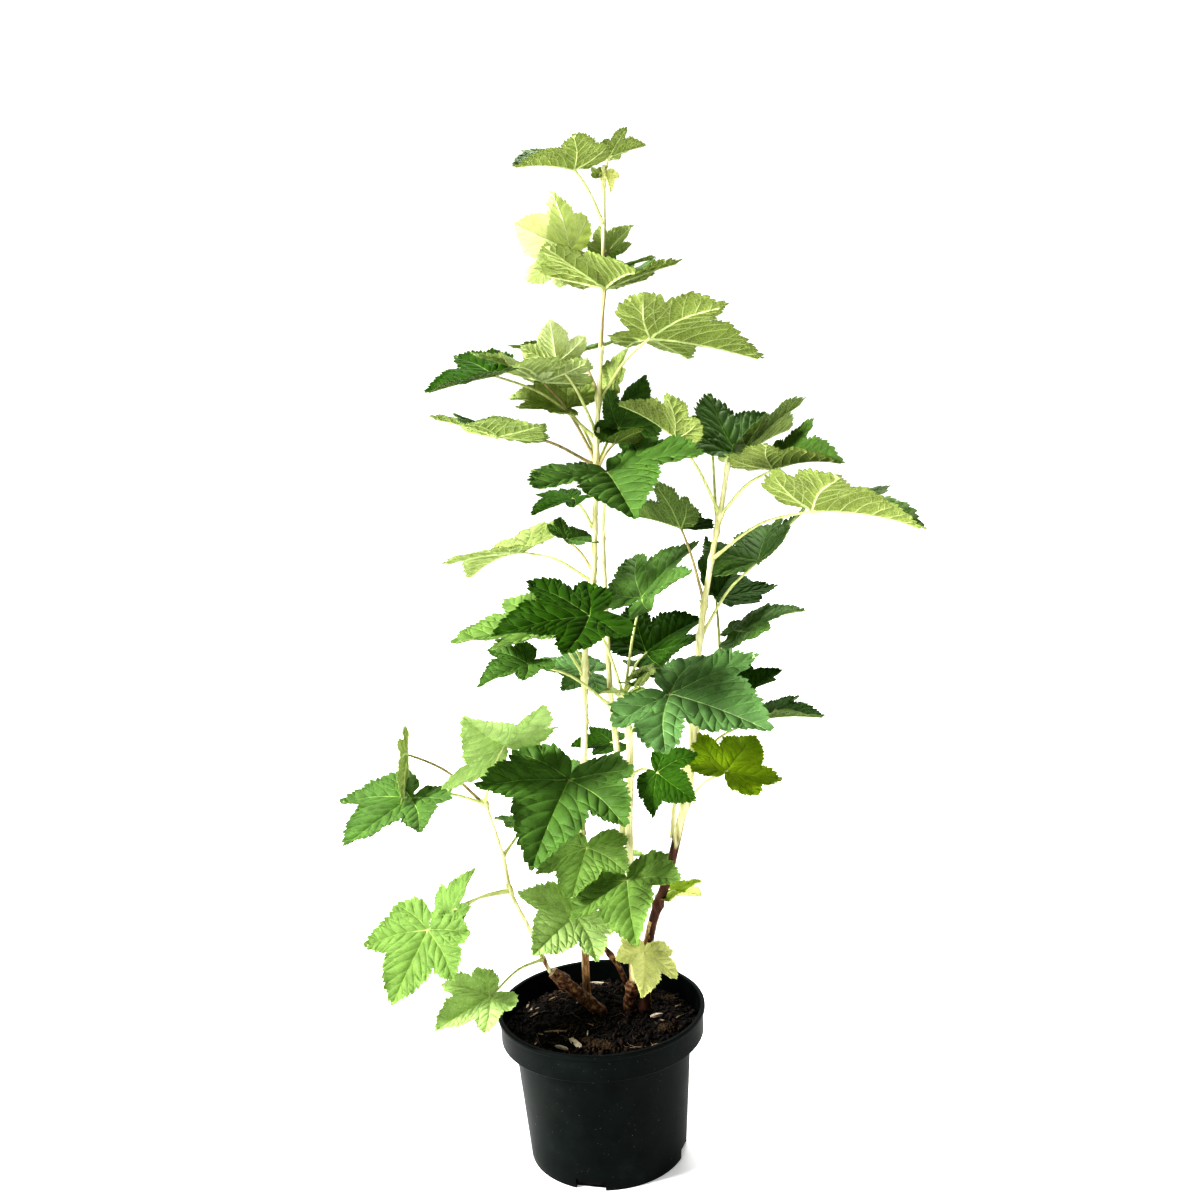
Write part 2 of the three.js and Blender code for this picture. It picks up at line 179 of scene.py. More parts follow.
# A leaf is (height on the stem, heading and reach of its stalk, rise of its stalk, blade length,
# heading, pitch and roll of the blade, fold of each half, tint)
STEMS = {
    "tall": {
        "line": [(-13, 27, 128), (-12, 19, 200), (-9, 14, 300), (-1, 12, 393), (4, 10, 469),
                 (15, 8, 540), (23, 6, 643), (31, 5, 725), (38, 4, 812), (42, 2, 880)],
        "radii": (3.8, 1.5),
        "cuts": [200, 400, 500, 570, 712],
        "leaves": [
            (210, 260, 41, 26, 64, 237, -5, -30, 10, "fresh"),
            (240, 70, 40, 20, 60, 60, -5, 0, 12, "fresh"),
            (284, 283, 22, 9, 60, 252, -22, 7, 1, "fern"),
            (300, 95, 46, 30, 75, 100, 4, 0, 12, "mid"),
            (332, 257, 45, 32, 99, 248, -22, -10, 14, "mid"),
            (405, 82, 53, 32, 55, 184, 18, -16, 0, "cool"),
            (445, 199, 35, 49, 84, 175, -3, -16, 12, "fern"),
            (455, 125, 40, 30, 68, 142, 6, 0, 12, "mid"),
            (531, 170, 61, 28, 81, 135, -6, -9, 18, "light"),
            (540, 174, 22, 29, 36, 50, 4, 24, 15, "mid"),
            (552, 84, 52, 64, 74, 94, 3, 0, 12, "mid"),
            (576, 212, 19, 29, 44, 213, -5, -6, 12, "deep"),
            (625, 319, 22, 26, 34, 32, 3, 0, 30, "bright"),
            (629, 39, 28, 34, 51, 355, 59, 125, 22, "mid"),
            (632, 194, 84, 30, 73, 252, 23, -9, 9, "mid"),
            (636, 182, 42, 70, 74, 255, 23, -11, 16, "light"),
            (642, 157, 25, 40, 59, 154, 20, -25, 23, "light"),
            (655, 181, 84, 58, 60, 186, -6, -15, 20, "deep"),
            # This leaf lies in shade; its pale tint lifts it: painted light in part
            (659, 213, 37, 62, 38, 249, 74, 23, 5, "pale"),
            (685, 347, 47, 52, 98, 5, -7, -16, 14, "bright"),
            (690, 46, 18, 12, 32, 343, 70, 43, 8, "light"),
            (692, 120, 35, 38, 70, 130, 0, 0, 12, "bright"),
            (728, 313, 10, 52, 88, 285, 12, -5, 21, "bright"),
            (770, 75, 25, 27, 55, 70, 10, 0, 12, "bright"),
            # This leaf lies in shade; its pale tint lifts it: painted light in part
            (799, 175, 27, 15, 57, 208, 21, 80, 19, "pale"),
            (801, 72, 14, 10, 32, 341, 47, -33, 22, "light"),
            (833, 190, 22, 44, 60, 215, 9, -2, 29, "bright"),
            (868, 37, 7, 19, 34, 16, 19, -19, 19, "bright"),
        ],
    },
    "middle": {
        "line": [(28, -0.8, 298), (27, -6, 374), (24, -10, 431), (23.5, -14, 480),
                 (24, -15, 580)],
        "radii": (3, 2),
        "cuts": [335],
        "leaves": [
            (352, 95, 34, 26, 39, 182, 3, -10, 6, "deep"),
            (422, 203, 76, 49, 48, 211, -4, -16, 18, "mid"),
            (572, 296, 16, 55, 100, 278, -7, 11, 15, "mid"),
        ],
    },
    "front": {
        "line": [(32, 4, 160), (33, -2, 275), (34, -7, 318), (37, -11, 358), (38, -15, 403),
                 (35, -17, 436)],
        "radii": (4.8, 2.6),
        "cuts": [255, 345],
        "leaves": [
            (270, 264, 34, 1, 76, 268, -11, 20, 11, "fern"),
            (360, 303, 41, 11, 44, 303, -17, 60, 0, "deep"),
            (397, 309, 55, 44, 100, 316, -2, 19, 5, "cool"),
            (431, 243, 59, 83, 82, 198, 2, -21, 8, "deep"),
            (432, 57, 39, 81, 73, 20, 45, 6, 15, "mid"),
            (434, 67, 62, 24, 68, 29, 29, 17, 20, "deep"),
        ],
    },
    "right": {
        "line": [(40, 10, 128), (48, 10, 199), (67, 8, 256), (80, 5, 305), (91, 4, 350),
                 (104, 2, 468), (116, 1, 536), (128, 0, 590), (136, 0, 632)],
        "radii": (5, 2),
        "cuts": [185, 300, 450, 545],
        "leaves": [
            # A yellowing leaf in the shade of others, whose near-white tint is painted light in part
            (190, 257, 24, 4, 44, 266, -27, -26, 9, "yellow"),
            (229, 47, 21, 6, 35, 313, 11, 9, 5, "olive"),
            (324, 322, 46, 37, 62, 55, 20, 23, 0, "olive"),
            (400, 95, 40, 35, 70, 105, 5, 0, 12, "mid"),
            (478, 4, 54, 63, 75, 75, 23, -26, 23, "mid"),
            (505, 148, 20, 68, 56, 139, 17, 31, 41, "deep"),
            (546, 329, 93, 42, 96, 328, 2, -14, 24, "bright"),
            (570, 85, 42, 66, 70, 80, 4, 0, 12, "bright"),
            (583, 323, 54, 40, 67, 313, 19, 11, 35, "bright"),
            (585, 196, 38, 67, 58, 160, 44, 29, 33, "bright"),
            (625, 10, 11, 8, 92, 50, 18, -1, 44, "mid"),
        ],
    },
    "side": {
        "line": [(73, 14, 290), (79, 22, 326), (96, 28, 370), (116, 30, 420), (128, 30, 460)],
        "radii": (2.2, 1.5),
        "cuts": [338],
        "leaves": [
            (350, 350, 68, 46, 62, 334, 16, -6, 16, "deep"),
            (413, 349, 36, 9, 38, 19, 25, 9, 26, "deep"),
            (452, 87, 32, 49, 72, 69, 13, 37, 40, "deep"),
            (455, 6, 18, 19, 61, 350, 29, 5, 0, "mid"),
        ],
    },
    "left": {
        "line": [(-45, 5.5, 172), (-49, 4, 182), (-62, 0, 219), (-75, -4, 254), (-80, -6, 290),
                 (-91, -9, 336), (-93, -10, 343)],
        "radii": (2, 1.4),
        "cuts": [172, 250],
        "leaves": [
            (186, 226, 68, -11, 55, 211, -10, -12, 13, "fresh"),
            (256, 208, 81, -16, 69, 229, -44, -15, 6, "fern"),
            (290, 50, 42, 16, 48, 105, 0, 0, 12, "mid"),
            (339, 181, 65, 51, 64, 156, -85, -27, 8, "light"),
            (341, 201, 66, 16, 76, 226, -13, -5, 9, "mid"),
            (342, 319, 29, 57, 77, 252, 24, -145, 12, "fresh"),
            (258, 196, 59, -19, 50, 29, 64, -3, 5, "fern"),
        ],
    },
}
BARE_STEMS = ("tall", "middle", "front", "right", "side")

# Old wood: line, radii at foot and top
OLD_WOOD = {
    "stub_left": ([(-1, 9, 128), (-20, 8, 148), (-43, 6, 171.8)], (6.5, 5)),
    "stump_front": ([(25, 13, 128), (28, 9, 144), (32, 4, 159.8)], (5.5, 5)),
    "dead_twig": ([(29, 27, 128), (24, 20, 150), (17, 17, 170), (5, 16, 188.8)], (3, 2.2)),
}

# Leaf tints as linear colours: upper side, its main and side veins, underside and its veins,
# light that comes through, and its share
TINTS = {
    "deep": ((0.031, 0.088, 0.003), (0.25, 0.40, 0.09), (0.085, 0.180, 0.018),
             (0.070, 0.110, 0.028), (0.28, 0.37, 0.12), (0.45, 0.70, 0.05), 0.08),
    "mid": ((0.091, 0.180, 0.036), (0.36, 0.52, 0.15), (0.16, 0.28, 0.055),
            (0.17, 0.23, 0.060), (0.44, 0.52, 0.20), (0.50, 0.75, 0.06), 0.09),
    # cool: a bluish green whose blue cast is in part painted sheen, the rest the leaves' own green
    "cool": ((0.124, 0.236, 0.076), (0.46, 0.62, 0.28), (0.23, 0.40, 0.150),
             (0.17, 0.23, 0.090), (0.44, 0.52, 0.24), (0.50, 0.75, 0.10), 0.09),
    "olive": ((0.300, 0.425, 0.018), (0.54, 0.64, 0.10), (0.40, 0.50, 0.030),
              (0.24, 0.32, 0.050), (0.48, 0.54, 0.18), (0.60, 0.80, 0.03), 0.20),
    "fern": ((0.182, 0.294, 0.073), (0.48, 0.62, 0.22), (0.28, 0.42, 0.120),
             (0.26, 0.36, 0.120), (0.52, 0.62, 0.28), (0.60, 0.85, 0.12), 0.15),
    "fresh": ((0.450, 0.600, 0.240), (0.66, 0.76, 0.38), (0.52, 0.66, 0.300),
              (0.36, 0.46, 0.180), (0.58, 0.66, 0.34), (0.60, 0.82, 0.18), 0.24),
    "bright": ((0.075, 0.150, 0.024), (0.34, 0.46, 0.14), (0.15, 0.26, 0.050),
               (0.190, 0.240, 0.056), (0.58, 0.66, 0.30), (0.60, 0.76, 0.13), 0.16),
    "light": ((0.300, 0.365, 0.125), (0.56, 0.64, 0.28), (0.42, 0.50, 0.180),
              (0.320, 0.385, 0.140), (0.64, 0.72, 0.38), (0.65, 0.80, 0.20), 0.20),
    # pale: a pale young green, lifted further so that leaves lying in shade come out bright: painted
    # light in part
    "pale": ((0.520, 0.600, 0.240), (0.80, 0.86, 0.48), (0.66, 0.74, 0.340),
             (0.560, 0.640, 0.330), (0.88, 0.92, 0.66), (0.86, 0.93, 0.45), 0.36),
    # yellow: a yellowing leaf's colour, pushed near to white to lift leaves in the shade of others:
    # painted light in part
    "yellow": ((0.950, 0.980, 0.440), (0.94, 0.96, 0.62), (0.93, 0.95, 0.520),
               (0.84, 0.87, 0.560), (0.95, 0.96, 0.76), (0.94, 0.96, 0.62), 0.44),
}

# Leaves whose middle lobe is paler than the rest: (stem, height) and the lobe's tint
PALE_LOBES = {("tall", 799): "yellow", ("right", 229): "yellow"}
PALE_LOBE_FROM = 0.42

# Small young leaves that stand at the tips, in the same terms as the rows of the stems
YOUNG_LEAVES = {
    "front_2": [
        (434, 341, 15, 15, 26, 20, 20, -20, 30, "light"),
        (430, 331, 14, 12, 24, 250, 30, 20, 35, "bright"),
        (428, 315, 10, 7, 17, 300, -10, 10, 30, "fresh"),
        (424, 200, 9, 12, 15, 190, 20, 10, 30, "light"),
    ],
    "tall_5": [
        (868, 300, 4, 3, 15, 300, -50, 0, 45, "yellow"),
        (864, 120, 5, 8, 14, 60, 50, 0, 42, "light"),
    ],
    "right_4": [
        (625, 250, 4, 6, 13, 280, 40, 0, 40, "light"),
    ],
}

# The faces of a leaf that have a skin of their own
LEAF_SLOTS = ("upper", "upper_main_vein", "upper_side_vein", "under", "under_main_vein",
              "under_side_vein")

# Blades differ in how deep the bays between their lobes are and how far the side lobes reach
SHAPES = [
    {"sinuses": (1.0, 0.93), "lobes": (1.0, 1.0)},
    {"sinuses": (0.90, 1.02), "lobes": (0.97, 1.0)},
    {"sinuses": (1.06, 0.98), "lobes": (1.02, 1.0)},
]

# Colours along the grain of each kind of bark, of the pot and of the compost
PALE_BARK = [(0.26, (0.34, 0.22, 0.11)), (0.38, (0.62, 0.60, 0.28)), (0.58, (0.84, 0.82, 0.50)),
             (0.85, (0.92, 0.91, 0.66))]
# Browns of the streak of painted shade on the stems' right side
SHADE_STREAK_BARK = [(0.3, (0.20, 0.10, 0.04)), (0.7, (0.42, 0.26, 0.12))]
BARE_BARK = [(0.38, (0.20, 0.10, 0.04)), (0.58, (0.74, 0.56, 0.34))]
OLD_BARK = [(0.34, (0.030, 0.011, 0.005)), (0.50, (0.12, 0.055, 0.026)),
            (0.64, (0.36, 0.21, 0.11))]
STALK_GREEN = [(0.3, (0.50, 0.55, 0.18)), (0.7, (0.76, 0.78, 0.40))]
STALK_RED = [(0.3, (0.30, 0.20, 0.10)), (0.7, (0.50, 0.46, 0.22))]
POT_TONES = [(0.35, (0.0030, 0.0050, 0.0042)), (0.60, (0.0060, 0.0095, 0.0080)),
             (0.78, (0.014, 0.020, 0.016))]
COMPOST_TONES = [(0.30, (0.0016, 0.0011, 0.0008)), (0.55, (0.004, 0.0026, 0.0018)),
                 (0.82, (0.014, 0.008, 0.005))]

# What lies on the compost: name, dark and light colour, scale of the grain, roughness
CRUMB_TONES = [
    ("crumb_black", (0.0012, 0.0008, 0.0006), (0.004, 0.0025, 0.0018), 500, 0.9),
    ("crumb_brown", (0.003, 0.0018, 0.0012), (0.010, 0.0055, 0.0035), 500, 0.9),
    ("crumb_umber", (0.010, 0.0045, 0.0025), (0.030, 0.014, 0.007), 500, 0.85),
    ("crumb_russet", (0.020, 0.011, 0.005), (0.062, 0.036, 0.015), 500, 0.85),
]
CHIP_TONES = [
    ("chip_brown", (0.070, 0.042, 0.026), (0.16, 0.10, 0.062), 350, 0.85),
    ("chip_tan", (0.15, 0.095, 0.055), (0.30, 0.21, 0.13), 350, 0.85),
    ("chip_pale", (0.30, 0.24, 0.18), (0.55, 0.48, 0.38), 350, 0.85),
]
FIBRE_TONES = [("fibre", (0.05, 0.032, 0.020), (0.20, 0.13, 0.080), 350, 0.8)]
CRUMB_COUNT = 2600
CLUMP_CRUMBS = 150
LOOSE_CHIPS = 22
FIBRE_COUNT = 60
CHIP_RINGS = 6

# Chips that show: (x, y), heading, (length, width, depth), tone
CHIPS = [
    ((-25, -48), 118, (22, 5.4, 2.6), 2),
    ((-37, -52), 150, (13, 4.6, 2.2), 2),
    ((-40, -26), 5, (26, 2.2, 1.3), 1),
    ((50, -8), 30, (13, 5.4, 2.4), 2),
    ((-2, 74), 160, (19, 4.2, 1.8), 2),
    ((30, -58), 12, (15, 1.4, 0.9), 1),
    ((-62, 14), 40, (12, 1.8, 1.2), 1),
    ((-70, 40), 75, (7, 2.2, 1.2), 2),
]

# Clumps of brown fibre on the compost: (x, y), size
CLUMPS = [((-6, -52), 9), ((4, -56), 7), ((56, -27), 8), ((64, 30), 8), ((-14, -45), 5)]

# The floor shines by itself, more so away from the plant, so that it meets the white behind it
FLOOR_HALF = 6.0
FLOOR_GLOW_REACH = (0.25, 1.6)
FLOOR_GLOW = (0.25, 1.0)

# The surroundings are dim in a wide cone round this direction, behind and above the camera
DIM_TOWARDS = (0.35, -0.8, 0.7)
DIM_BETWEEN = (-0.25, 0.35)
DIM_LEVEL = 0.22

# Soft lights: place and target in metres, size, power
LIGHTS = {
    "key": ((-1.75, -0.65, 1.55), (0.0, 0.0, 0.5), 0.55, 85),
    "fill": ((-1.5, -1.3, 0.55), (0.0, 0.0, 0.2), 1.2, 7),
    "back": ((0.3, 1.2, 2.4), (0.0, 0.0, 0.5), 0.9, 45),
}

MASK = 0xFFFFFFFF


# Seeded numbers and small vector helpers


def seeded(seed):
    """The source's generator of numbers between 0 and 1."""
    state = seed & MASK

    def draw():
        nonlocal state
        state = (state + 0x6D2B79F5) & MASK
        t = state
        t = ((t ^ (t >> 15)) * (t | 1)) & MASK
        t = (t ^ ((t + (((t ^ (t >> 7)) * (t | 61)) & MASK)) & MASK)) & MASK
        return (t ^ (t >> 14)) / 4294967296

    return draw


def unit(vector):
    return vector / np.linalg.norm(vector)


def compass(heading, reach=1, height=0):
    """A step in a heading, and up."""
    turn = math.radians(heading)
    return np.array([reach * math.cos(turn), reach * math.sin(turn), height])


def smooth_line(points, count):
    """Points evenly spaced along a smooth curve through the given ones."""
    p = np.array(points, float)
    p = np.vstack([2 * p[0] - p[1], p, 2 * p[-1] - p[-2]])
    dense = []
    for i in range(1, len(p) - 2):
        t = np.linspace(0, 1, 24, endpoint=False)[:, None]
        a, b, c, d = p[i - 1:i + 3]
        dense.append(0.5 * (2 * b + (c - a) * t + (2 * a - 5 * b + 4 * c - d) * t ** 2
                            + (3 * b - a - 3 * c + d) * t ** 3))
    dense = np.vstack(dense + [p[-2:-1]])
    run = np.concatenate([[0], np.cumsum(np.linalg.norm(np.diff(dense, axis=0), axis=1))])
    at = np.linspace(0, run[-1], count)
    return np.stack([np.interp(at, run, dense[:, k]) for k in range(dense.shape[1])], axis=1)


# Meshes

class Mesh:
    """Gathers vertices, faces and each face's material, then makes one object."""

    def __init__(self):
        self.vertices = []
        self.faces = []
        self.kinds = []
        self.count = 0

    def add(self, vertices, *groups):
        """Adds a piece: its corners, and groups of (faces, their material number or numbers)."""
        for faces, kind in groups:
            self.faces.extend((np.asarray(faces) + self.count).tolist())
            self.kinds.extend(np.broadcast_to(kind, len(faces)).tolist())
        self.vertices.append(np.asarray(vertices, float))
        self.count += len(vertices)

    def build(self, name, materials, sharp_angle=None):
        mesh = bpy.data.meshes.new(name)
        mesh.from_pydata((np.vstack(self.vertices) * MM).tolist(), [], self.faces)
        for material in materials:
            mesh.materials.append(material)
        mesh.polygons.foreach_set("material_index", self.kinds)
        mesh.polygons.foreach_set("use_smooth", [True] * len(self.faces))
        mesh.update()
        if sharp_angle:
            mesh.set_sharp_from_angle(angle=math.radians(sharp_angle))
        return placed(name, mesh)


def placed(name, data):
    """A new object in the scene."""
    made = bpy.data.objects.new(name, data)
    bpy.context.collection.objects.link(made)
    return made


def dress(piece, slot, *nodes):
    """Puts a piece on the plant in place of the named solids."""
    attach(piece, "root")
    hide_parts(*nodes)


def circle(sides):
    """Corners of a circle of radius 1."""
    turn = np.arange(sides) * 2 * math.pi / sides
    return np.stack([np.cos(turn), np.sin(turn)], axis=1)


def level_ring(flat, radius, height):
    return np.column_stack([flat * radius, np.full(len(flat), height)])


def fan(middle, ring):
    """Triangles from one corner to a closed ring of corners."""
    return np.column_stack([np.full(len(ring), middle), ring, np.roll(ring, -1)])


def closed_faces(rings, sides):
    """Walls between stacked rings, then both ends, whose middles are the last two corners."""
    corners = np.arange(rings * sides).reshape(rings, sides)
    beside = np.roll(corners, -1, axis=1)
    walls = np.stack([corners[:-1], beside[:-1], beside[1:], corners[1:]], axis=-1)
    foot = fan(rings * sides, corners[0])[:, ::-1]
    return walls.reshape(-1, 4), foot, fan(rings * sides + 1, corners[-1])


def add_tube(mesh, path, radii, kind, sides):
    """A closed tube along a path; radii holds one value for each ring, or for each corner."""
    path = np.asarray(path, float)
    forward = np.gradient(path, axis=0)
    forward /= np.linalg.norm(forward, axis=1)[:, None]
    across = unit(np.cross(forward[0], (0.3, 0.9, 0.1)))
    radii = np.broadcast_to(np.asarray(radii, float).reshape(len(path), -1), (len(path), sides))
    flat = circle(sides)
    rings = []
    for spot, direction, radius in zip(path, forward, radii):
        across = unit(across - direction * np.dot(across, direction))
        other = np.cross(direction, across)
        rings.append(spot + radius[:, None] * (flat[:, :1] * across + flat[:, 1:] * other))
    groups = [(faces, kind) for faces in closed_faces(len(path), sides)]
    mesh.add(np.vstack([*rings, path[0], path[-1]]), *groups)


# Materials

class Nodes:
    """The nodes of a material or of the world."""

    def __init__(self, owner):
        owner.use_nodes = True
        self.tree = owner.node_tree

    def put(self, kind, sockets, **settings):
        """A new node with its settings and sockets."""
        node = self.tree.nodes.new("ShaderNode" + kind)
        for name, value in settings.items():
            setattr(node, name, value)
        self.fill(node, sockets)
        return node

    def fill(self, node, sockets):
        """Gives each named socket a value, or joins it to another node's output."""
        for name, value in sockets.items():
            if isinstance(value, bpy.types.NodeSocket):
                self.tree.links.new(value, node.inputs[name])
            else:
                node.inputs[name].default_value = value

    def between(self, value, start, end, **settings):
        """A value carried over from its range, start, to another, end."""
        sockets = {"Value": value, "From Min": start[0], "From Max": start[1],
                   "To Min": end[0], "To Max": end[1]}
        return self.put("MapRange", sockets, **settings).outputs["Result"]


class Skin(Nodes):
    """A new material, with its main shader."""

    def __init__(self, name, roughness, specular):
        self.material = bpy.data.materials.new(name)
        super().__init__(self.material)
        self.main = self.tree.nodes["Principled BSDF"]
        self.finish({"Roughness": roughness, "Specular IOR Level": specular})

    def finish(self, sockets):
        """Sets sockets of the main shader, and gives the material."""
        self.fill(self.main, sockets)
        return self.material

    def place(self, stretch=(1, 1, 1)):
        """The piece's own coordinates in metres, stretched along an axis."""
        source = self.put("TexCoord", {}).outputs["Object"]
        return self.put("Mapping", {"Vector": source, "Scale": stretch}).outputs["Vector"]

    def noise(self, place, scale, detail=3, roughness=0.55):
        sockets = {"Vector": place, "Scale": scale, "Detail": detail, "Roughness": roughness}
        return self.put("TexNoise", sockets).outputs["Fac"]

    def ramp(self, value, stops):
        """Colours along a value, from (position, colour) stops."""
        node = self.put("ValToRGB", {"Fac": value})
        elements = node.color_ramp.elements
        while len(elements) < len(stops):
            elements.new(0.5)
        for element, (position, colour) in zip(elements, stops):
            element.position = position
            element.color = (*colour, 1)
        return node.outputs["Color"]

    def mix(self, factor, tone, other):
        """A tone mixed with another tone or a plain colour."""
        other = (*other, 1) if isinstance(other, tuple) else other
        return self.put("Mix", {"Factor": factor, 6: tone, 7: other}, data_type="RGBA").outputs[2]

    def sum_of(self, value, factor, added):
        """A value times a factor, with another value added."""
        return self.put("Math", {0: value, 1: factor, 2: added},
                        operation="MULTIPLY_ADD").outputs["Value"]

    def bump(self, height, strength, distance):
        sockets = {"Height": height, "Strength": strength, "Distance": distance}
        return self.put("Bump", sockets).outputs["Normal"]


def scaled(colour, factor):
    return tuple(min(1.0, c * factor) for c in colour)


def leaf_material(name, colour, line, share, roughness, specular, glow, raised):
    """A leaf's skin: mottled, crinkled, with a net of fine veins, and light coming through. On upper
    skins the net is darker: painted shade in the sunken veins.
    """
    skin = Skin(name, roughness, specular)
    place = skin.place()
    tone = skin.ramp(skin.noise(place, 60, 5, 0.7), [
        (0.30, scaled(colour, 0.70)), (0.50, colour), (0.70, scaled(colour, 1.30))])
    net = skin.put("TexVoronoi", {"Vector": place, "Scale": NET_SCALE},
                   feature="DISTANCE_TO_EDGE").outputs["Distance"]
    lines = skin.ramp(net, [(0.0, (NET_SHARE,) * 3), (NET_WIDTH, (0, 0, 0))])
    height = skin.sum_of(net, -0.8 if raised else 0.8, skin.noise(place, 210, 3, 0.6))
    skin.finish({"Base Color": skin.mix(lines, tone, line),
                   "Normal": skin.bump(height, *LEAF_BUMP)})
    through = skin.put("BsdfTranslucent", {"Color": (*glow, 1)})
    blend = skin.put("MixShader", {"Fac": share, 1: skin.main.outputs["BSDF"],
                                   2: through.outputs["BSDF"]})
    skin.fill(skin.tree.nodes["Material Output"], {"Surface": blend.outputs["Shader"]})
    return skin.material


def leaf_materials(tint):
    """The skins of one tint, one for each leaf slot."""
    upper, main_vein, side_vein, under, under_vein, glow, share = TINTS[tint]
    fine = tuple(0.45 * a + 0.55 * b for a, b in zip(under, under_vein))
    above = (0.60, 0.10 if tint == "deep" else 0.18)
    below = (0.65, 0.1)
    skins = [
        # On the upper skin the net of fine veins takes 0.4 of the skin's colour: painted shade in the
        # sunken veins
        (upper, scaled(upper, 0.4), share, *above), (main_vein, main_vein, share, *above),
        (side_vein, side_vein, share, *above), (under, under_vein, share, *below),
        (under_vein, under_vein, share * 0.6, *below), (fine, under_vein, share * 0.8, *below),
    ]
    return [leaf_material(f"leaf_{tint}_{slot}", *skin, glow, slot.startswith("under"))
            for slot, skin in zip(LEAF_SLOTS, skins)]


def bark_material(name, stops, old_below=None, old_colour=None, stretch=0.12):
    """Bark with fine lengthwise streaks; below a height it turns to another colour."""
    skin = Skin(name, 0.55, 0.25)
    place = skin.place((1, 1, stretch))
    tone = skin.ramp(skin.noise(place, 260, 4), stops)
    if old_below:
        tone = old_towards_foot(skin, tone, old_below, old_colour)
    relief = skin.bump(skin.noise(place, 900, 3), 0.5, 0.0005)
    return skin.finish({"Base Color": tone, "Normal": relief})


def old_towards_foot(skin, tone, height, colour):
    """Mixes old bark into a stem below a height in millimetres, with a ragged edge and streaks."""
    level = skin.put("SeparateXYZ", {"Vector": skin.place()}).outputs["Z"]
    sway = skin.sum_of(skin.noise(skin.place((1, 1, 0.2)), 90, 3), OLD_BARK_SWAY, level)
    middle = height * MM + OLD_BARK_SWAY / 2
    share = skin.between(sway, (middle - OLD_BARK_EDGE, middle + OLD_BARK_EDGE), (1, 0))
    old = skin.ramp(skin.noise(skin.place((1, 1, 0.25)), 230, 5, 0.7), [
        (0.34, scaled(colour, 0.35)), (0.50, colour), (0.64, scaled(colour, 2.2))])
    return skin.mix(share, tone, old)


def plain_material(name, stops, scale, roughness, relief=0.4, distance=0.0005):
    """A rough natural surface whose colour wanders between stops."""
    skin = Skin(name, roughness, 0.3)
    place = skin.place()
    return skin.finish({
        "Base Color": skin.ramp(skin.noise(place, scale, 4), stops),
        "Normal": skin.bump(skin.noise(place, scale * 6, 3), relief, distance)})


def two_toned(rows):
    """Plain materials from rows of (name, dark, light, scale, roughness)."""
    return [plain_material(name, [(0.3, dark), (0.7, light)], scale, roughness)
            for name, dark, light, scale, roughness in rows]


def pot_material():
    """Dark satin plastic with a film of dust and specks of compost."""
    skin = Skin("pot_plastic", 0.4, 0.055)
    place = skin.place()
    film = skin.noise(place, 38, 6, 0.65)
    specks = skin.ramp(skin.noise(place, 620, 2), [(0.73, (0, 0, 0)), (0.76, (1, 1, 1))])
    return skin.finish({
        "Base Color": skin.mix(specks, skin.ramp(film, POT_TONES), (0.13, 0.13, 0.11)),
        "Roughness": skin.between(film, (0, 1), (0.36, 0.60)),
        "Normal": skin.bump(skin.noise(place, 480, 3), 0.12, 0.0004)})


# The blade's flat pattern

def polar(angle, reach, side=1):
    turn = math.radians(angle)
    return np.array([reach * math.cos(turn), side * reach * math.sin(turn)])


def lobe_edges(sinus, lobe):
    """The half outline as smooth stretches between its corners, from the tip to the stalk."""
    rows = []
    for angle, reach in HALF_OUTLINE:
        factor = sinus if angle in SINUSES else lobe if angle == SIDE_LOBE else 1
        rows.append((angle, reach * factor))
    stretches = []
    for low, high in zip(OUTLINE_CORNERS, OUTLINE_CORNERS[1:]):
        part = [polar(a, r) for a, r in rows if low <= a <= high]
        stretches.append(smooth_line(part, 160))
    return stretches


def tooth_edges(total, rng):
    """Where the teeth of one stretch begin and end, and how high each stands."""
    edges, heights = [0.0], []
    big = rng.uniform() < 0.5
    while edges[-1] < total:
        length, height = BIG_TOOTH if big else SMALL_TOOTH
        edges.append(edges[-1] + length * rng.uniform(0.8, 1.25))
        heights.append(height * rng.uniform(0.75, 1.25))
        big = not big if rng.uniform() < 0.8 else big
    return np.array(edges) * total / edges[-1], heights


def toothed(line, rng):
    """Saw teeth along a stretch of outline, each leaning towards its lobe's tip."""
    run = np.concatenate([[0], np.cumsum(np.linalg.norm(np.diff(line, axis=0), axis=1))])
    direction = np.gradient(line, axis=0)
    outward = np.stack([direction[:, 1], -direction[:, 0]], axis=1)
    outward /= np.linalg.norm(outward, axis=1)[:, None]
    angles = np.degrees(np.arctan2(line[:, 1], line[:, 0]))
    edges, heights = tooth_edges(run[-1], rng)
    pieces = []
    for start, end, height in zip(edges, edges[1:], heights):
        angle = np.interp((start + end) / 2, run, angles)
        onwards = any(low < angle < tip for low, tip in TEETH_ONWARDS)
        profile = TOOTH if onwards else [(1 - along, rise) for along, rise in TOOTH[::-1]]
        fade = np.clip((TOOTHLESS_FROM - angle) / TOOTH_FADE, 0, 1)
        for along, rise in profile:
            s = start + along * (end - start)
            spot = np.array([np.interp(s, run, line[:, 0]), np.interp(s, run, line[:, 1])])
            side = np.array([np.interp(s, run, outward[:, 0]), np.interp(s, run, outward[:, 1])])
            pieces.append(spot + side * (height * (rise - TOOTH_MIDDLE) * fade))
    return pieces


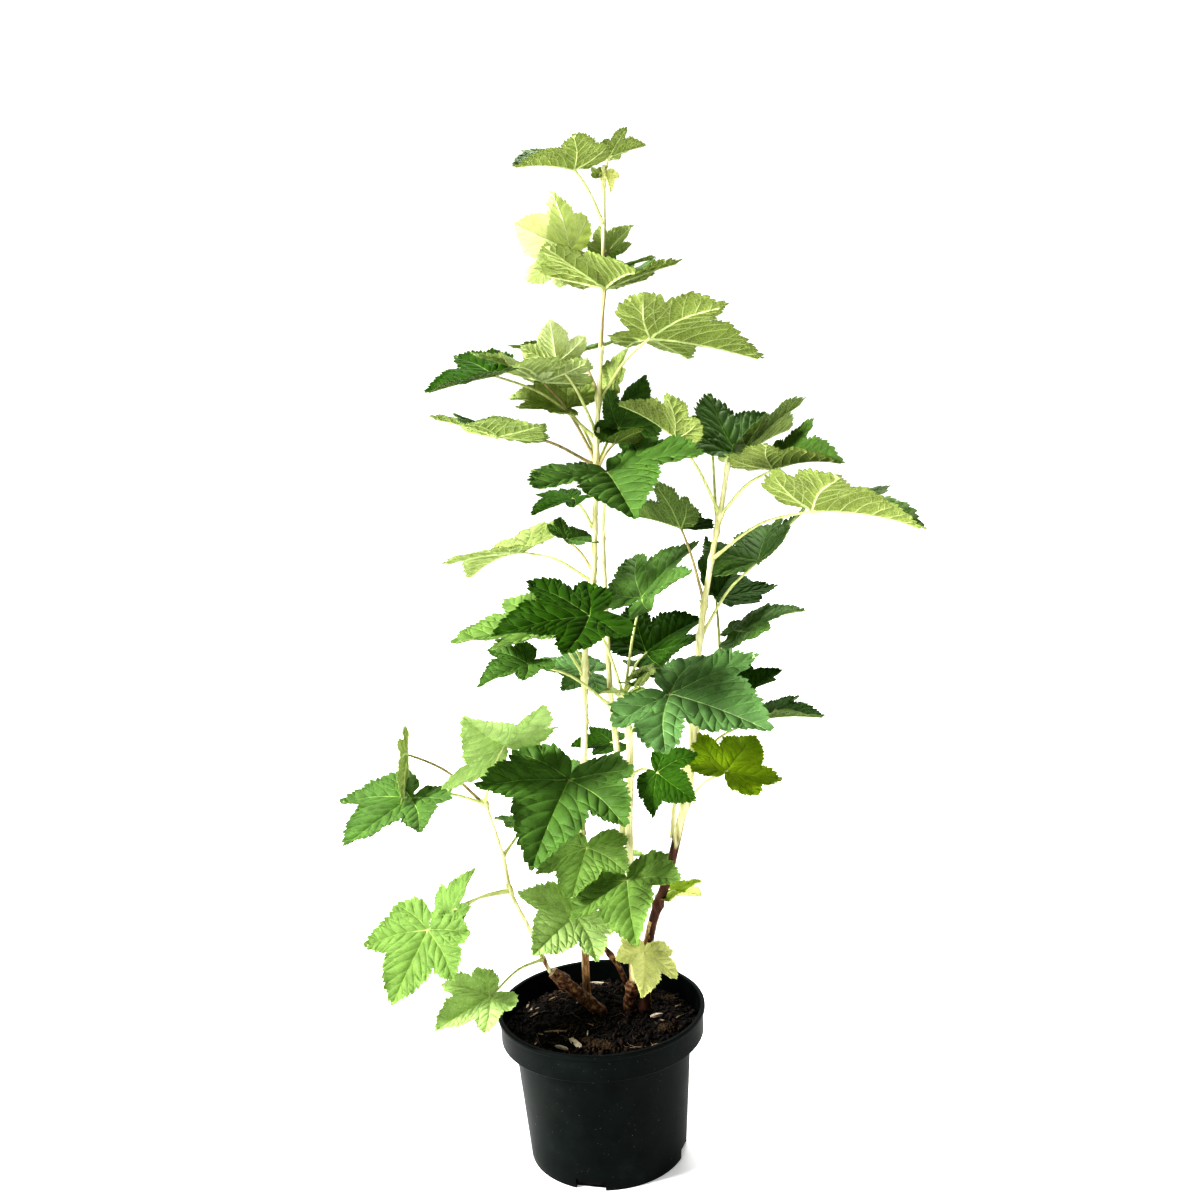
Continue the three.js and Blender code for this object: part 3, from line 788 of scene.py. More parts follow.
def toothed_outline(shape, rng):
    """The whole outline, counter-clockwise from the middle lobe's tip."""
    halves = []
    for side, sinus, lobe in zip((1, -1), shape["sinuses"], shape["lobes"]):
        half = []
        for line in lobe_edges(sinus, lobe):
            half += toothed(line, rng)
        halves.append(np.array(half) * (1, side))
    tip = np.array([[1.0, 0.0]])
    joint = np.array([[-HALF_OUTLINE[-1][1], 0.0]])
    left, right = ([p for p in half if np.linalg.norm(p - tip[0]) > TIP_CLEARANCE
                    and np.linalg.norm(p - joint[0]) > TIP_CLEARANCE] for half in halves)
    return np.vstack([tip, left, joint, right[::-1]])


def inside(points, outline):
    """Which points lie within a closed outline."""
    points = np.atleast_2d(points)
    x, y = points[:, 0:1], points[:, 1:2]
    x0, y0 = outline[:, 0], outline[:, 1]
    x1, y1 = np.roll(x0, -1), np.roll(y0, -1)
    crosses = (y0 > y) != (y1 > y)
    with np.errstate(divide="ignore", invalid="ignore"):
        at = (x1 - x0) * (y - y0) / (y1 - y0) + x0
    return (crosses & (x < at)).sum(axis=1) % 2 == 1


def distance_to_lines(points, starts, ends):
    """Distance from each point to each straight piece, and how far along it lies."""
    run = ends - starts
    offset = points[:, None, :] - starts[None]
    share = (offset * run).sum(-1) / np.maximum((run ** 2).sum(-1), 1e-12)
    share = np.clip(share, 0, 1)
    gap = offset - share[..., None] * run
    return np.linalg.norm(gap, axis=-1), share


def main_veins(shape):
    """One vein from the joint to each lobe's tip."""
    veins = [smooth_line([(0, 0), (0.5, 0.004), (0.97, 0)], 40)]
    for side, lobe in zip((1, -1), shape["lobes"]):
        for angle, reach in ((SIDE_LOBE, 0.82 * lobe), (BASE_LOBE + 3, 0.54)):
            tip = polar(angle, reach, side)
            middle = polar(angle + 5, reach * 0.5, side)
            veins.append(smooth_line([(0, 0), middle, tip], 36))
    return veins


def turned_by(direction, degrees):
    turn = math.radians(degrees)
    return np.array([
        direction[0] * math.cos(turn) - direction[1] * math.sin(turn),
        direction[0] * math.sin(turn) + direction[1] * math.cos(turn)])


def grown_vein(start, direction, bend, outline, clear_of, berth):
    """A vein that curves from its start until it nears the edge or another vein."""
    line = [np.array(start)]
    for _ in range(VEIN_STEPS):
        direction = turned_by(direction, bend)
        spot = line[-1] + VEIN_STEP * direction
        if not inside(spot, outline)[0]:
            break
        if len(line) > 2 and distance_to_lines(spot[None], *clear_of)[0].min() < berth:
            break
        line.append(spot)
    return np.array(line)


def pieces_of(lines):
    """The straight pieces of some lines, as their starts and ends."""
    return np.vstack([line[:-1] for line in lines]), np.vstack([line[1:] for line in lines])


def spot_on(line, share):
    """The point at a share of a line's length, and the direction there."""
    at = share * (len(line) - 1)
    low = min(int(at), len(line) - 2)
    step = line[low + 1] - line[low]
    return line[low] + (at - low) * step, unit(step)


def vein_net(shape, outline, rng):
    """Every vein as (line, half width at its start, half width at its end)."""
    mains = main_veins(shape)
    veins = [(line, *MAIN_VEIN_WIDTHS) for line in mains]
    small = outline * 0.96
    for index, main in enumerate(mains):
        others = pieces_of([line for k, line in enumerate(mains) if k != index])
        length = np.linalg.norm(np.diff(main, axis=0), axis=1).sum()
        for side in (1, -1):
            share = SIDE_VEIN_SPACING * rng.uniform(0.7, 1.0) / length
            while share < 0.93:
                start, forward = spot_on(main, share)
                angle = np.interp(share, (0, 1), SIDE_VEIN_ANGLES) * rng.uniform(0.92, 1.08)
                vein = grown_vein(start, turned_by(forward, side * angle), -side * SIDE_VEIN_BEND,
                                  small, others, SIDE_VEIN_BERTH)
                if len(vein) > 3:
                    veins.append((vein, *SIDE_VEIN_WIDTHS))
                    veins += forks(vein, side, small, veins)
                share += SIDE_VEIN_SPACING * rng.uniform(0.8, 1.15) / length
    return veins


def forks(vein, side, outline, veins):
    """Small veins that leave a side vein on the side away from the lobe's tip."""
    made = []
    if len(vein) < 8:
        return made
    others = pieces_of([line for line, _, _ in veins if line is not vein])
    for share in FORK_PLACES:
        start, forward = spot_on(vein, share)
        fork = grown_vein(start, turned_by(forward, side * FORK_ANGLE), -side * FORK_BEND,
                          outline, others, FORK_BERTH)
        if len(fork) > 3:
            made.append((fork, *FORK_WIDTHS))
    return made


def strip_lines(line, wide, narrow):
    """The middle line of a vein and its two edges."""
    direction = np.gradient(line, axis=0)
    normal = np.stack([-direction[:, 1], direction[:, 0]], axis=1)
    normal /= np.maximum(np.linalg.norm(normal, axis=1)[:, None], 1e-9)
    width = np.linspace(wide, narrow, len(line))[:, None]
    return [line, line + normal * width, line - normal * width]


def clearance(points, pieces):
    """Distance from each point to the nearest of some straight pieces."""
    return distance_to_lines(points, *pieces)[0].min(1)


def vein_strands(veins, outline):
    """The outline and the points along each vein's middle and edges, and which are joined."""
    spots, edges = [outline], []
    count = len(outline)
    for line, wide, narrow in veins:
        for strand in strip_lines(line, wide, narrow):
            strand = strand[::2] if len(strand) > 6 else strand
            strand = strand[inside(strand, outline * 0.985)]
            edges += [(count + i, count + i + 1) for i in range(len(strand) - 1)]
            spots.append(strand)
            count += len(strand)
    return spots, edges


def filling(outline, pieces, border):
    """Evenly spaced points in the blade, clear of its veins and its border."""
    x, y = np.meshgrid(np.arange(-0.6, 1.05, GRID_STEP), np.arange(-0.9, 0.9, GRID_STEP * 0.866))
    x = x + (np.arange(x.shape[0]) % 2 * GRID_STEP / 2)[:, None]
    grid = np.stack([x.ravel(), y.ravel()], axis=1)
    grid = grid[inside(grid, outline)]
    clear = np.minimum(clearance(grid, pieces), clearance(grid, border))
    return grid[clear > GRID_STEP * 0.45]


def vein_kinds(centres, pieces, veins, widths):
    """Which triangles lie on a main vein (1), on a smaller one (2) or between them (0)."""
    is_main = [[wide == MAIN_VEIN_WIDTHS[0]] * (len(line) - 1) for line, wide, _ in veins]
    covered = distance_to_lines(centres, *pieces)[0] < widths
    main = (covered & np.concatenate(is_main)).any(1)
    return np.where(main, 1, np.where(covered.any(1), 2, 0))


def blade_pattern(shape, seed):
    """The flat blade as triangles, with its veins, relief and outline."""
    rng = np.random.default_rng(seed)
    outline = toothed_outline(shape, rng)
    veins = vein_net(shape, outline, rng)
    pieces = pieces_of([line for line, _, _ in veins])
    mains = pieces_of([line for line, wide, _ in veins if wide == MAIN_VEIN_WIDTHS[0]])
    border = pieces_of([np.vstack([outline, outline[:1]])])
    spots, edges = vein_strands(veins, outline)
    spots.append(filling(outline, pieces, border))
    flat = [Vector(p) for p in np.vstack(spots)]
    loop = list(range(len(outline)))
    made = geometry.delaunay_2d_cdt(flat, edges, [loop], 1, 1e-6)
    points, triangles = np.array([tuple(v) for v in made[0]]), np.array(made[2])
    rim = [next(k for k, source in enumerate(made[3]) if i in source) for i in loop]
    centres = points[triangles].mean(1)
    gaps = distance_to_lines(points, *pieces)[0]
    gap = gaps.min(1)
    widths = np.concatenate([np.linspace(a, b, len(line))[:-1] for line, a, b in veins])
    width = widths[gaps.argmin(1)]
    pleat = PLEAT * (1 - np.exp(-clearance(points, mains) / PLEAT_WIDTH))
    quilt = QUILT * (1 - np.exp(-gap / QUILT_WIDTH))
    return {
        "points": points, "triangles": triangles, "rim": np.array(rim), "lift": pleat + quilt,
        "vein": vein_kinds(centres, pieces, veins, widths),
        "ridge": width * 1.3 * np.clip(1 - gap / np.maximum(width, 1e-6), 0, 1) ** 0.5,
        "edge": np.exp(-clearance(points, border) / RUFFLE_WIDTH),
        "middle_lobe": centres[:, 0] > PALE_LOBE_FROM,
    }


def mirrored(pattern):
    """The same blade with its two halves changed over."""
    twin = dict(pattern)
    twin["points"] = pattern["points"] * (1, -1)
    twin["triangles"] = pattern["triangles"][:, ::-1]
    twin["rim"] = pattern["rim"][::-1]
    return twin


# The leaves

def blade_axes(heading, pitch, roll):
    """Directions of a blade: along its middle vein, to its left, and up through it."""
    turn, tilt, twist = (math.radians(v) for v in (heading, pitch, roll))
    along = np.array([math.cos(turn) * math.cos(tilt), math.sin(turn) * math.cos(tilt),
                      math.sin(tilt)])
    level = np.array([-math.sin(turn), math.cos(turn), 0])
    upright = np.cross(along, level)
    left = level * math.cos(twist) + upright * math.sin(twist)
    up = upright * math.cos(twist) - level * math.sin(twist)
    return along, left, up


def grown(points, left_growth, right_growth):
    """The pattern with its two halves grown a little unevenly, as in the source."""
    reach = np.linalg.norm(points, axis=1)
    sine = np.abs(points[:, 1]) / np.maximum(reach, 1e-9)
    growth = np.where(points[:, 1] >= 0, left_growth, right_growth)
    return points * (1 + growth * sine)[:, None]


def bent_blade(pattern, length, fold, droop, growths, rng):
    """The pattern folded along its middle vein, drooping to its tips and ruffled at its edge."""
    flat = grown(pattern["points"], *growths)
    along, across = flat[:, 0], flat[:, 1]
    angle = math.radians(fold)
    soft = np.sqrt(across ** 2 + 0.02 ** 2) - 0.02
    lift = soft * math.sin(angle)
    sag = droop * (np.maximum(along, 0) ** 2 + SIDE_DROOP * across ** 2)
    round_edge = np.arctan2(across, along)
    wave = sum(
        rng.uniform(0.4, 1.0) * np.sin(round_edge * turns + rng.uniform(0, 2 * math.pi))
        for turns in RUFFLE_WAVES
    )
    lift = lift - sag + pattern["lift"] + RUFFLE * wave * pattern["edge"] * 0.5
    lift += TWIST * rng.uniform(-1, 1) * along * across
    reach = along ** 2 + across ** 2
    for angle_of_lobe in (0, SIDE_LOBE, -SIDE_LOBE, BASE_LOBE, -BASE_LOBE):
        gap = np.degrees(round_edge) - angle_of_lobe
        lift += rng.uniform(*LOBE_CURL) * reach * np.exp(-(gap / LOBE_CURL_ANGLE) ** 2)
    return np.stack([along, across * math.cos(angle), lift], axis=1) * length


def corner_normals(points, triangles):
    """The direction out of the surface at each of its points."""
    a, b, c = (points[triangles[:, k]] for k in range(3))
    out = np.cross(b - a, c - a)
    total = np.zeros_like(points)
    for k in range(3):
        np.add.at(total, triangles[:, k], out)
    return total / np.maximum(np.linalg.norm(total, axis=1), 1e-9)[:, None]


def add_leaf(mesh, pattern, joint, row, draws, rng, skins):
    """One blade: an upper and an under skin joined round the edge.

    skins holds the first slot of the blade's own tint and that of its middle lobe's.
    """
    length, heading, pitch, roll, fold = row[4:9]
    droop, growths = draws
    along, left, up = blade_axes(heading, pitch, roll)
    bent = bent_blade(pattern, length, fold, droop, growths, rng)
    middle = joint + bent[:, :1] * along + bent[:, 1:2] * left + bent[:, 2:] * up
    count = len(middle)
    top = pattern["triangles"]
    normals = corner_normals(middle, top)
    upper = middle + normals * LEAF_THICKNESS / 2
    lower = middle - normals * (LEAF_THICKNESS / 2 + pattern["ridge"] * length)[:, None]
    rim = pattern["rim"]
    after = np.roll(rim, -1)
    edge = np.stack([rim, rim + count, after + count, after], axis=1)
    kinds = np.where(pattern["middle_lobe"], skins[1], skins[0]) + pattern["vein"]
    mesh.add(np.vstack([upper, lower]), (top, kinds),
             (top[:, ::-1] + count, kinds + LEAF_SLOTS.index("under")), (edge, skins[0]))


def point_at_height(line, height):
    """A stem's middle line is straight between its listed points."""
    heights = [p[2] for p in line]
    return np.array([
        np.interp(height, heights, [p[0] for p in line]),
        np.interp(height, heights, [p[1] for p in line]), height])


def stalk_ends(stem, row):
    """Where a leaf's stalk leaves the stem, and where it meets the blade."""
    height, heading, reach, rise = row[:4]
    root = point_at_height(stem["line"], height)
    return root, root + compass(heading, reach, rise)


def add_stalk(mesh, root, joint, along, kind):
    """A tapering stalk, bowed upwards, that runs on a little under the blade."""
    middle = (root + joint) / 2
    middle[2] += STALK_BOW * np.linalg.norm(joint - root)
    path = smooth_line([root, middle, joint, joint + along * STALK_ROOT], STALK_RINGS)
    share = np.linspace(0, 1, STALK_RINGS)
    radii = STALK_RADII[0] + (STALK_RADII[1] - STALK_RADII[0]) * share
    radii = radii + STALK_FOOT_SWELLING * np.exp(-(share / STALK_FOOT_SHARE) ** 2)
    radii[-1] = STALK_END_RADIUS
    add_tube(mesh, path, radii, kind, STALK_SIDES)


def add_bud(mesh, stem, row, kind):
    """A small pointed bud in the angle above a leaf stalk."""
    root = point_at_height(stem["line"], row[0])
    out = compass(row[1])
    foot, tip = stem["line"][0][2], stem["line"][-1][2]
    radius = np.interp(row[0], (foot, tip), stem["radii"])
    start = root + out * radius * 0.8 + (0, 0, 1.5)
    along = unit(out * 0.75 + (0, 0, 1))
    share = np.linspace(0, 1, 7)
    path = start + share[:, None] * along * BUD_LENGTH
    radii = BUD_RADIUS * np.sqrt(np.clip(1 - share ** 1.6, 0.01, 1)) * (0.65 + 0.6 * share)
    add_tube(mesh, path, radii, kind, BUD_SIDES)


def masses_of(name, stem):
    """The masses of foliage up one stem, as (name, low height, high height, is the last)."""
    tip = stem["line"][-1][2]
    limits = [*stem["cuts"], tip]
    for i in range(len(limits) - 1):
        yield f"{name}_{i + 1}", limits[i], limits[i + 1], limits[i + 1] == tip


def skin_slots(tints, tint, lobe_tint):
    """First slots of a leaf's own tint and of its middle lobe's, in the mass's list of tints."""
    for wanted in (tint, lobe_tint):
        if wanted not in tints:
            tints.append(wanted)
    return [tints.index(wanted) * len(LEAF_SLOTS) for wanted in (tint, lobe_tint)]


def grow_mass(name, stem, mass, rows, draw, rng, patterns):
    """Blades and stalks of one mass of foliage, and the tints that its blades use."""
    blades, stalks, tints = Mesh(), Mesh(), []
    for row in rows + YOUNG_LEAVES.get(mass, []):
        young = row not in rows
        droop, growths = YOUNG_DROOP, (0, 0)
        if not young:
            droop = DROOP_LEAST + DROOP_RANGE * draw()
            growths = [LOBE_VARIATION * (2 * draw() - 1) for _ in range(2)]
        root, joint = stalk_ends(stem, row)
        skins = skin_slots(tints, row[9], PALE_LOBES.get((name, row[0]), row[9]))
        pattern = patterns[int(rng.integers(len(patterns)))]
        add_leaf(blades, pattern, joint, row, (droop, growths), rng, skins)
        red = not young and rng.uniform() < RED_STALKS
        add_stalk(stalks, root, joint, blade_axes(*row[5:8])[0], int(red))
        if not young:
            add_bud(stalks, stem, row, 0)
    return blades, stalks, tints


def grow_leaves(patterns):
    """Leaves and stalks of every mass, with the source's seeded numbers in the source's order."""
    draw = seeded(SEED)
    rng = np.random.default_rng(SEED)
    materials = {tint: leaf_materials(tint) for tint in TINTS}
    stalk = [bark_material("stalk_green", STALK_GREEN), bark_material("stalk_red", STALK_RED)]
    for name, stem in STEMS.items():
        for mass, low, high, last in masses_of(name, stem):
            rows = [r for r in stem["leaves"] if low <= r[0] and (r[0] < high or last)]
            blades, stalks, tints = grow_mass(name, stem, mass, rows, draw, rng, patterns)
            used = [m for tint in tints for m in materials[tint]]
            slot = "leaf_light" if low < LIGHT_BELOW else "leaf_green"
            dress(blades.build(f"leaves_{mass}", used, 75), slot, f"foliage_{mass}")
            dress(stalks.build(f"stalks_{mass}", stalk), "young_wood", f"foliage_{mass}")


# Bark

def bark_rings(path, radii, knots, rng, relief):
    """Radius of each corner of each ring: taper, swollen knots, ribs and small bumps."""
    rings = len(path)
    turn = np.arange(BARK_SIDES) * 2 * math.pi / BARK_SIDES
    radius = np.interp(np.linspace(0, 1, rings), [0, 1], radii)
    for height in knots:
        swelling = np.exp(-((path[:, 2] - height) / NODE_LENGTH) ** 2)
        radius = radius * (1 + NODE_SWELLING * swelling)
    run = np.arange(rings)[:, None] * BARK_STEP
    ribs = sum(
        rng.uniform(0.3, 1)
        * np.sin(turns * turn + rng.uniform(0, 6.3) + run * rng.uniform(-0.02, 0.02))
        for turns in BARK_RIBS
    )
    bumps = rng.normal(0, 1, (rings, BARK_SIDES))
    bumps = (bumps + np.roll(bumps, 1, 0) + np.roll(bumps, 1, 1) + np.roll(bumps, -1, 0)) / 4
    return radius[:, None] * (1 + relief * (0.5 * ribs + bumps))


def paint_shade_and_bare_patch(mesh, path, patch, rng):
    """A brown streak of painted shade up the stem's right side, away from the key light, and a bare
    patch between two heights.
    """
    low, high = patch
    for ring in range(len(path) - 1):
        sway = round(0.8 * math.sin(ring * 0.11) + rng.uniform(-0.6, 0.6))
        for side in SHADE_STREAK_SIDES:
            mesh.kinds[ring * BARK_SIDES + side + sway] = 1
        if low < path[ring, 2] < high:
            for side in BARE_PATCH_SIDES:
                mesh.kinds[ring * BARK_SIDES + (side + sway) % BARK_SIDES] = 2


def make_bark():
    """One bark mesh for each stem, from its foot to its tip."""
    rng = np.random.default_rng(SEED + 1)
    young = bark_material("bark_young", PALE_BARK, 178, (0.34, 0.20, 0.10))
    aged = bark_material("bark_aged", PALE_BARK, 285, (0.062, 0.022, 0.012))
    # A brown streak of painted shade down each stem's right side, away from the key light
    shade_streak = bark_material("bark_shade_streak", SHADE_STREAK_BARK)
    bare = bark_material("bark_bare", BARE_BARK, stretch=0.4)
    for name, stem in STEMS.items():
        foot, tip = stem["line"][0][2], stem["line"][-1][2]
        path = smooth_line(stem["line"], int((tip - foot) / BARK_STEP))
        knots = [row[0] for row in stem["leaves"]]
        radii = bark_rings(path, stem["radii"], knots, rng, YOUNG_BARK_RELIEF)
        if foot == SOIL_TOP:
            flare = FOOT_FLARE * np.clip(1 - (path[:, 2] - foot) / FOOT_FLARE_HEIGHT, 0, 1)
            radii = radii * (1 + flare[:, None])
            path[0, 2] -= 4
        mesh = Mesh()
        add_tube(mesh, path, radii, 0, BARK_SIDES)
        paint_shade_and_bare_patch(mesh, path, BARE_PATCH.get(name, (0, 0)), rng)
        piece = mesh.build(f"bark_{name}", [aged if name == "right" else young, shade_streak, bare])
        nodes = [f"foliage_{mass}" for mass, _, _, _ in masses_of(name, stem)]
        if name in BARE_STEMS:
            nodes.append(f"stem_{name}")
        dress(piece, "young_wood", *nodes)


def make_old_wood():
    """Rough brown stubs at the foot of the bush, with a paler cut end."""
    rng = np.random.default_rng(SEED + 2)
    rough = bark_material("bark_old", OLD_BARK, stretch=1)
    cut = two_toned([("cut_wood", (0.30, 0.20, 0.13), (0.50, 0.40, 0.28), 300, 0.8)])
    for name, (line, radii) in OLD_WOOD.items():
        path = smooth_line(line, max(8, int((line[-1][2] - line[0][2]) / OLD_BARK_STEP)))
        corners = bark_rings(path, radii, [path[-1, 2] - OLD_BARK_KNOT], rng, OLD_BARK_RELIEF)
        path[0, 2] -= 3
        mesh = Mesh()
        add_tube(mesh, path, corners, 0, BARK_SIDES)
        mesh.kinds[-BARK_SIDES:] = [1] * BARK_SIDES
        dress(mesh.build(name + "_bark", [rough, *cut], 50), "old_wood", name)


# Pot and compost

def rounded(profile, radius, steps=4):
    """A profile with its corners rounded off, ends kept."""
    out = [profile[0]]
    for before, here, after in zip(profile, profile[1:], profile[2:]):
        a, p, b = (np.array(v, float) for v in (before, here, after))
        reach = min(radius, 0.45 * np.linalg.norm(a - p), 0.45 * np.linalg.norm(b - p))
        start, end = p + unit(a - p) * reach, p + unit(b - p) * reach
        for t in np.linspace(0, 1, steps):
            out.append(tuple((1 - t) ** 2 * start + 2 * t * (1 - t) * p + t ** 2 * end))
    return out + [profile[-1]]


def pot_profile():
    """The pot's wall, with a ring just above the notches so that their edges shade cleanly."""
    body_top = POT_COLLAR_FOOT - POT_SHOULDER
    rim_foot = POT_HEIGHT - POT_RIM_HEIGHT
    clear = NOTCH_HEIGHT + NOTCH_CLEAR
    clear_radius = np.interp(clear, (0, body_top), (POT_FOOT_RADIUS, POT_BODY_TOP_RADIUS))
    outside = [
        (0, 0), (POT_FOOT_RADIUS, 0), (clear_radius, clear), (POT_BODY_TOP_RADIUS, body_top),
        (POT_COLLAR_RADIUS, POT_COLLAR_FOOT), (POT_COLLAR_RADIUS, rim_foot),
        (POT_RIM_RADIUS, rim_foot), (POT_RIM_RADIUS, POT_HEIGHT),
    ]
    inner = [
        (POT_COLLAR_RADIUS, POT_HEIGHT), (POT_COLLAR_RADIUS, POT_COLLAR_FOOT + 2),
        (POT_BODY_TOP_RADIUS, body_top), (clear_radius, clear), (POT_FOOT_RADIUS, POT_FLOOR),
    ]
    inner = [(radius - POT_WALL, height) for radius, height in inner]
    return rounded([*outside, *inner, (0, POT_FLOOR)], POT_ROUNDING)


def notch_cutters():
    """One block for each drain notch."""
    cutters = Mesh()
    box = np.array([(x, y, z) for x in (0, 1) for y in (-0.5, 0.5) for z in (-1, 1)], float)
    box *= (NOTCH_OUTER_RADIUS - NOTCH_INNER_RADIUS, NOTCH_WIDTH, NOTCH_HEIGHT)
    box[:, 0] += NOTCH_INNER_RADIUS
    for i in range(NOTCH_COUNT):
        turn = math.radians(NOTCH_HEADING + i * 360 / NOTCH_COUNT)
        spin = np.array([(math.cos(turn), -math.sin(turn), 0), (math.sin(turn), math.cos(turn), 0),
                         (0, 0, 1)])
        cutters.add(box @ spin.T, (BOX_FACES, 0))
    return cutters.build("notches", [])


def make_pot():
    """The pot, turned from its profile, with drain notches cut from its foot."""
    profile = pot_profile()
    flat = circle(POT_SIDES)
    rings = [level_ring(flat, radius, height) for radius, height in profile[1:-1]]
    middles = [(0, 0, profile[0][1]), (0, 0, profile[-1][1])]
    body = Mesh()
    body.add(np.vstack([*rings, *middles]),
             *[(faces, 0) for faces in closed_faces(len(rings), POT_SIDES)])
    pot = body.build("pot_shell", [pot_material()], POT_SHARP_ANGLE)
    cutter = notch_cutters()
    cut = pot.modifiers.new("notches", "BOOLEAN")
    cut.operation = "DIFFERENCE"
    cut.solver = "EXACT"
    cut.object = cutter
    bpy.context.view_layer.update()
    finished = pot.evaluated_get(bpy.context.evaluated_depsgraph_get())
    carved = bpy.data.meshes.new_from_object(finished)
    pot.modifiers.clear()
    carved.set_sharp_from_angle(angle=math.radians(POT_SHARP_ANGLE))
    pot.data = carved
    bpy.data.objects.remove(cutter)
    dress(pot, "pot", "pot")


def soil_height(radius):
    """The compost is level in the middle and falls a little towards the pot's wall."""
    middle = (POT_COLLAR_RADIUS - POT_WALL + SOIL_FLAT_RADIUS) / 2
    return np.interp(radius, [0, SOIL_FLAT_RADIUS, middle, SOIL_RADIUS],
                     [SOIL_TOP, SOIL_TOP, (SOIL_EDGE + 2 * SOIL_TOP) / 3, SOIL_EDGE])


def lumpy(x, y, rng, count, low, high):
    """Seeded unevenness from waves of many lengths and directions."""
    total = np.zeros_like(x)
    for _ in range(count):
        length = math.exp(rng.uniform(math.log(low), math.log(high)))
        turn = rng.uniform(0, 2 * math.pi)
        phase = rng.uniform(0, 2 * math.pi)
        wave = np.sin((x * math.cos(turn) + y * math.sin(turn)) * 2 * math.pi / length + phase)
        total += wave * (length / high) ** 0.6
    return total / math.sqrt(count)


def make_soil():
    """Compost with a rough top, and what lies on it."""
    rng = np.random.default_rng(SEED + 3)
    dark = plain_material("compost", COMPOST_TONES, 420, 0.95, 0.9, 0.0012)
    flat = circle(SOIL_SPOKES)
    r = SOIL_RADIUS * np.linspace(0, 1, SOIL_RINGS + 1)[1:, None]
    x, y = r * flat[:, 0], r * flat[:, 1]
    fade = np.clip((SOIL_RADIUS - r) / 4, 0, 1)
    rough = lumpy(x, y, rng, SOIL_WAVES, *SOIL_WAVE_LENGTHS) - 0.3
    z = soil_height(r) + SOIL_ROUGHNESS * fade * rough
    top = np.stack([x.ravel(), y.ravel(), z.ravel()], axis=1)
    below = [level_ring(flat, radius, height) for radius, height in SOIL_SIDE]
    middles = [(0, 0, SOIL_TOP), (0, 0, SOIL_SIDE[-1][1])]
    faces = closed_faces(SOIL_RINGS + len(SOIL_SIDE), SOIL_SPOKES)
    mesh = Mesh()
    mesh.add(np.vstack([top, *below, *middles]), *[(group[:, ::-1], 0) for group in faces])
    dress(mesh.build("compost", [dark]), "soil", "soil")
    make_crumbs(rng)


def lump_shape():
    """A small round lump's corners and faces."""
    g = (1 + 5 ** 0.5) / 2
    corners = [(0, s, t * g) for s in (-1, 1) for t in (-1, 1)]
    corners += [(s, t * g, 0) for s in (-1, 1) for t in (-1, 1)]
    corners += [(t * g, 0, s) for s in (-1, 1) for t in (-1, 1)]
    corners = np.array(corners) / math.sqrt(1 + g * g)
    faces = []
    for a, b, c in itertools.combinations(range(12), 3):
        p, q, r = corners[[a, b, c]]
        if max(np.linalg.norm(p - q), np.linalg.norm(q - r), np.linalg.norm(p - r)) < 1.1:
            outward = np.dot(np.cross(q - p, r - p), p) > 0
            faces.append((a, b, c) if outward else (a, c, b))
    return corners, faces


def random_turn(rng):
    axis = unit(rng.normal(size=3))
    return np.array(Matrix.Rotation(rng.uniform(0, 2 * math.pi), 3, Vector(axis)))


def strewn(radius, rng):
    """A random place on the compost, as its distance from the middle and its x and y."""
    r = radius * math.sqrt(rng.uniform())
    t = rng.uniform(0, 2 * math.pi)
    return r, r * math.cos(t), r * math.sin(t)


def strew_crumbs(mesh, corners, faces, rng):
    for _ in range(CRUMB_COUNT):
        r, x, y = strewn(SOIL_RADIUS - 3, rng)
        size = rng.uniform(0.5, 1.9) if rng.uniform() < 0.9 else rng.uniform(1.9, 3.4)
        shape = corners * (1 + 0.28 * rng.normal(size=(12, 1))) * size
        shape = shape * rng.uniform(0.6, 1.2, 3) @ random_turn(rng).T
        mesh.add(shape + (x, y, soil_height(r) + 0.3 * size), (faces, int(rng.integers(3))))


def add_clump(mesh, corners, faces, place, spread, rng):
    """Brown crumbs heaped round one place."""
    x, y = place
    for _ in range(CLUMP_CRUMBS):
        away = rng.normal(0, spread / 2.2, 2)
        size = rng.uniform(0.5, 1.6)
        shape = corners * (1 + 0.3 * rng.normal(size=(12, 1))) * size @ random_turn(rng).T
        lift = 2.2 * math.exp(-np.dot(away, away) / spread ** 2) + rng.uniform(-0.5, 0.6)
        height = soil_height(math.hypot(x, y)) + lift
        mesh.add(shape + (x + away[0], y + away[1], height), (faces, 3))


def add_chip(mesh, place, heading, size, tone, rng):
    """A flat splinter of wood with ragged ends, lying on the compost."""
    length, width, depth = size
    along = compass(heading, 1, rng.uniform(-0.12, 0.12))
    aside = unit(np.cross((0, 0, 1), along) + (0, 0, rng.uniform(-0.25, 0.25)))
    up = np.cross(unit(along), aside)
    base = np.array([place[0], place[1], soil_height(math.hypot(*place)) + 0.9 + depth / 2])
    vertices = []
    for i in range(CHIP_RINGS):
        s = i / (CHIP_RINGS - 1) - 0.5
        thin = 1 - 0.6 * abs(2 * s) ** 3
        half = width / 2 * thin * rng.uniform(0.8, 1.15)
        bow = 0.06 * length * (s * s)
        for across, lift in ((-1, -1), (1, -1), (1, 1), (-1, 1)):
            spot = base + along * s * length + aside * across * half
            vertices.append(spot + up * (lift * depth / 2 * thin - bow + rng.normal(0, 0.05)))
    walls = closed_faces(CHIP_RINGS, 4)[0]
    last = 4 * (CHIP_RINGS - 1)
    mesh.add(vertices, (walls, tone), ([(3, 2, 1, 0), (last, last + 1, last + 2, last + 3)], tone))


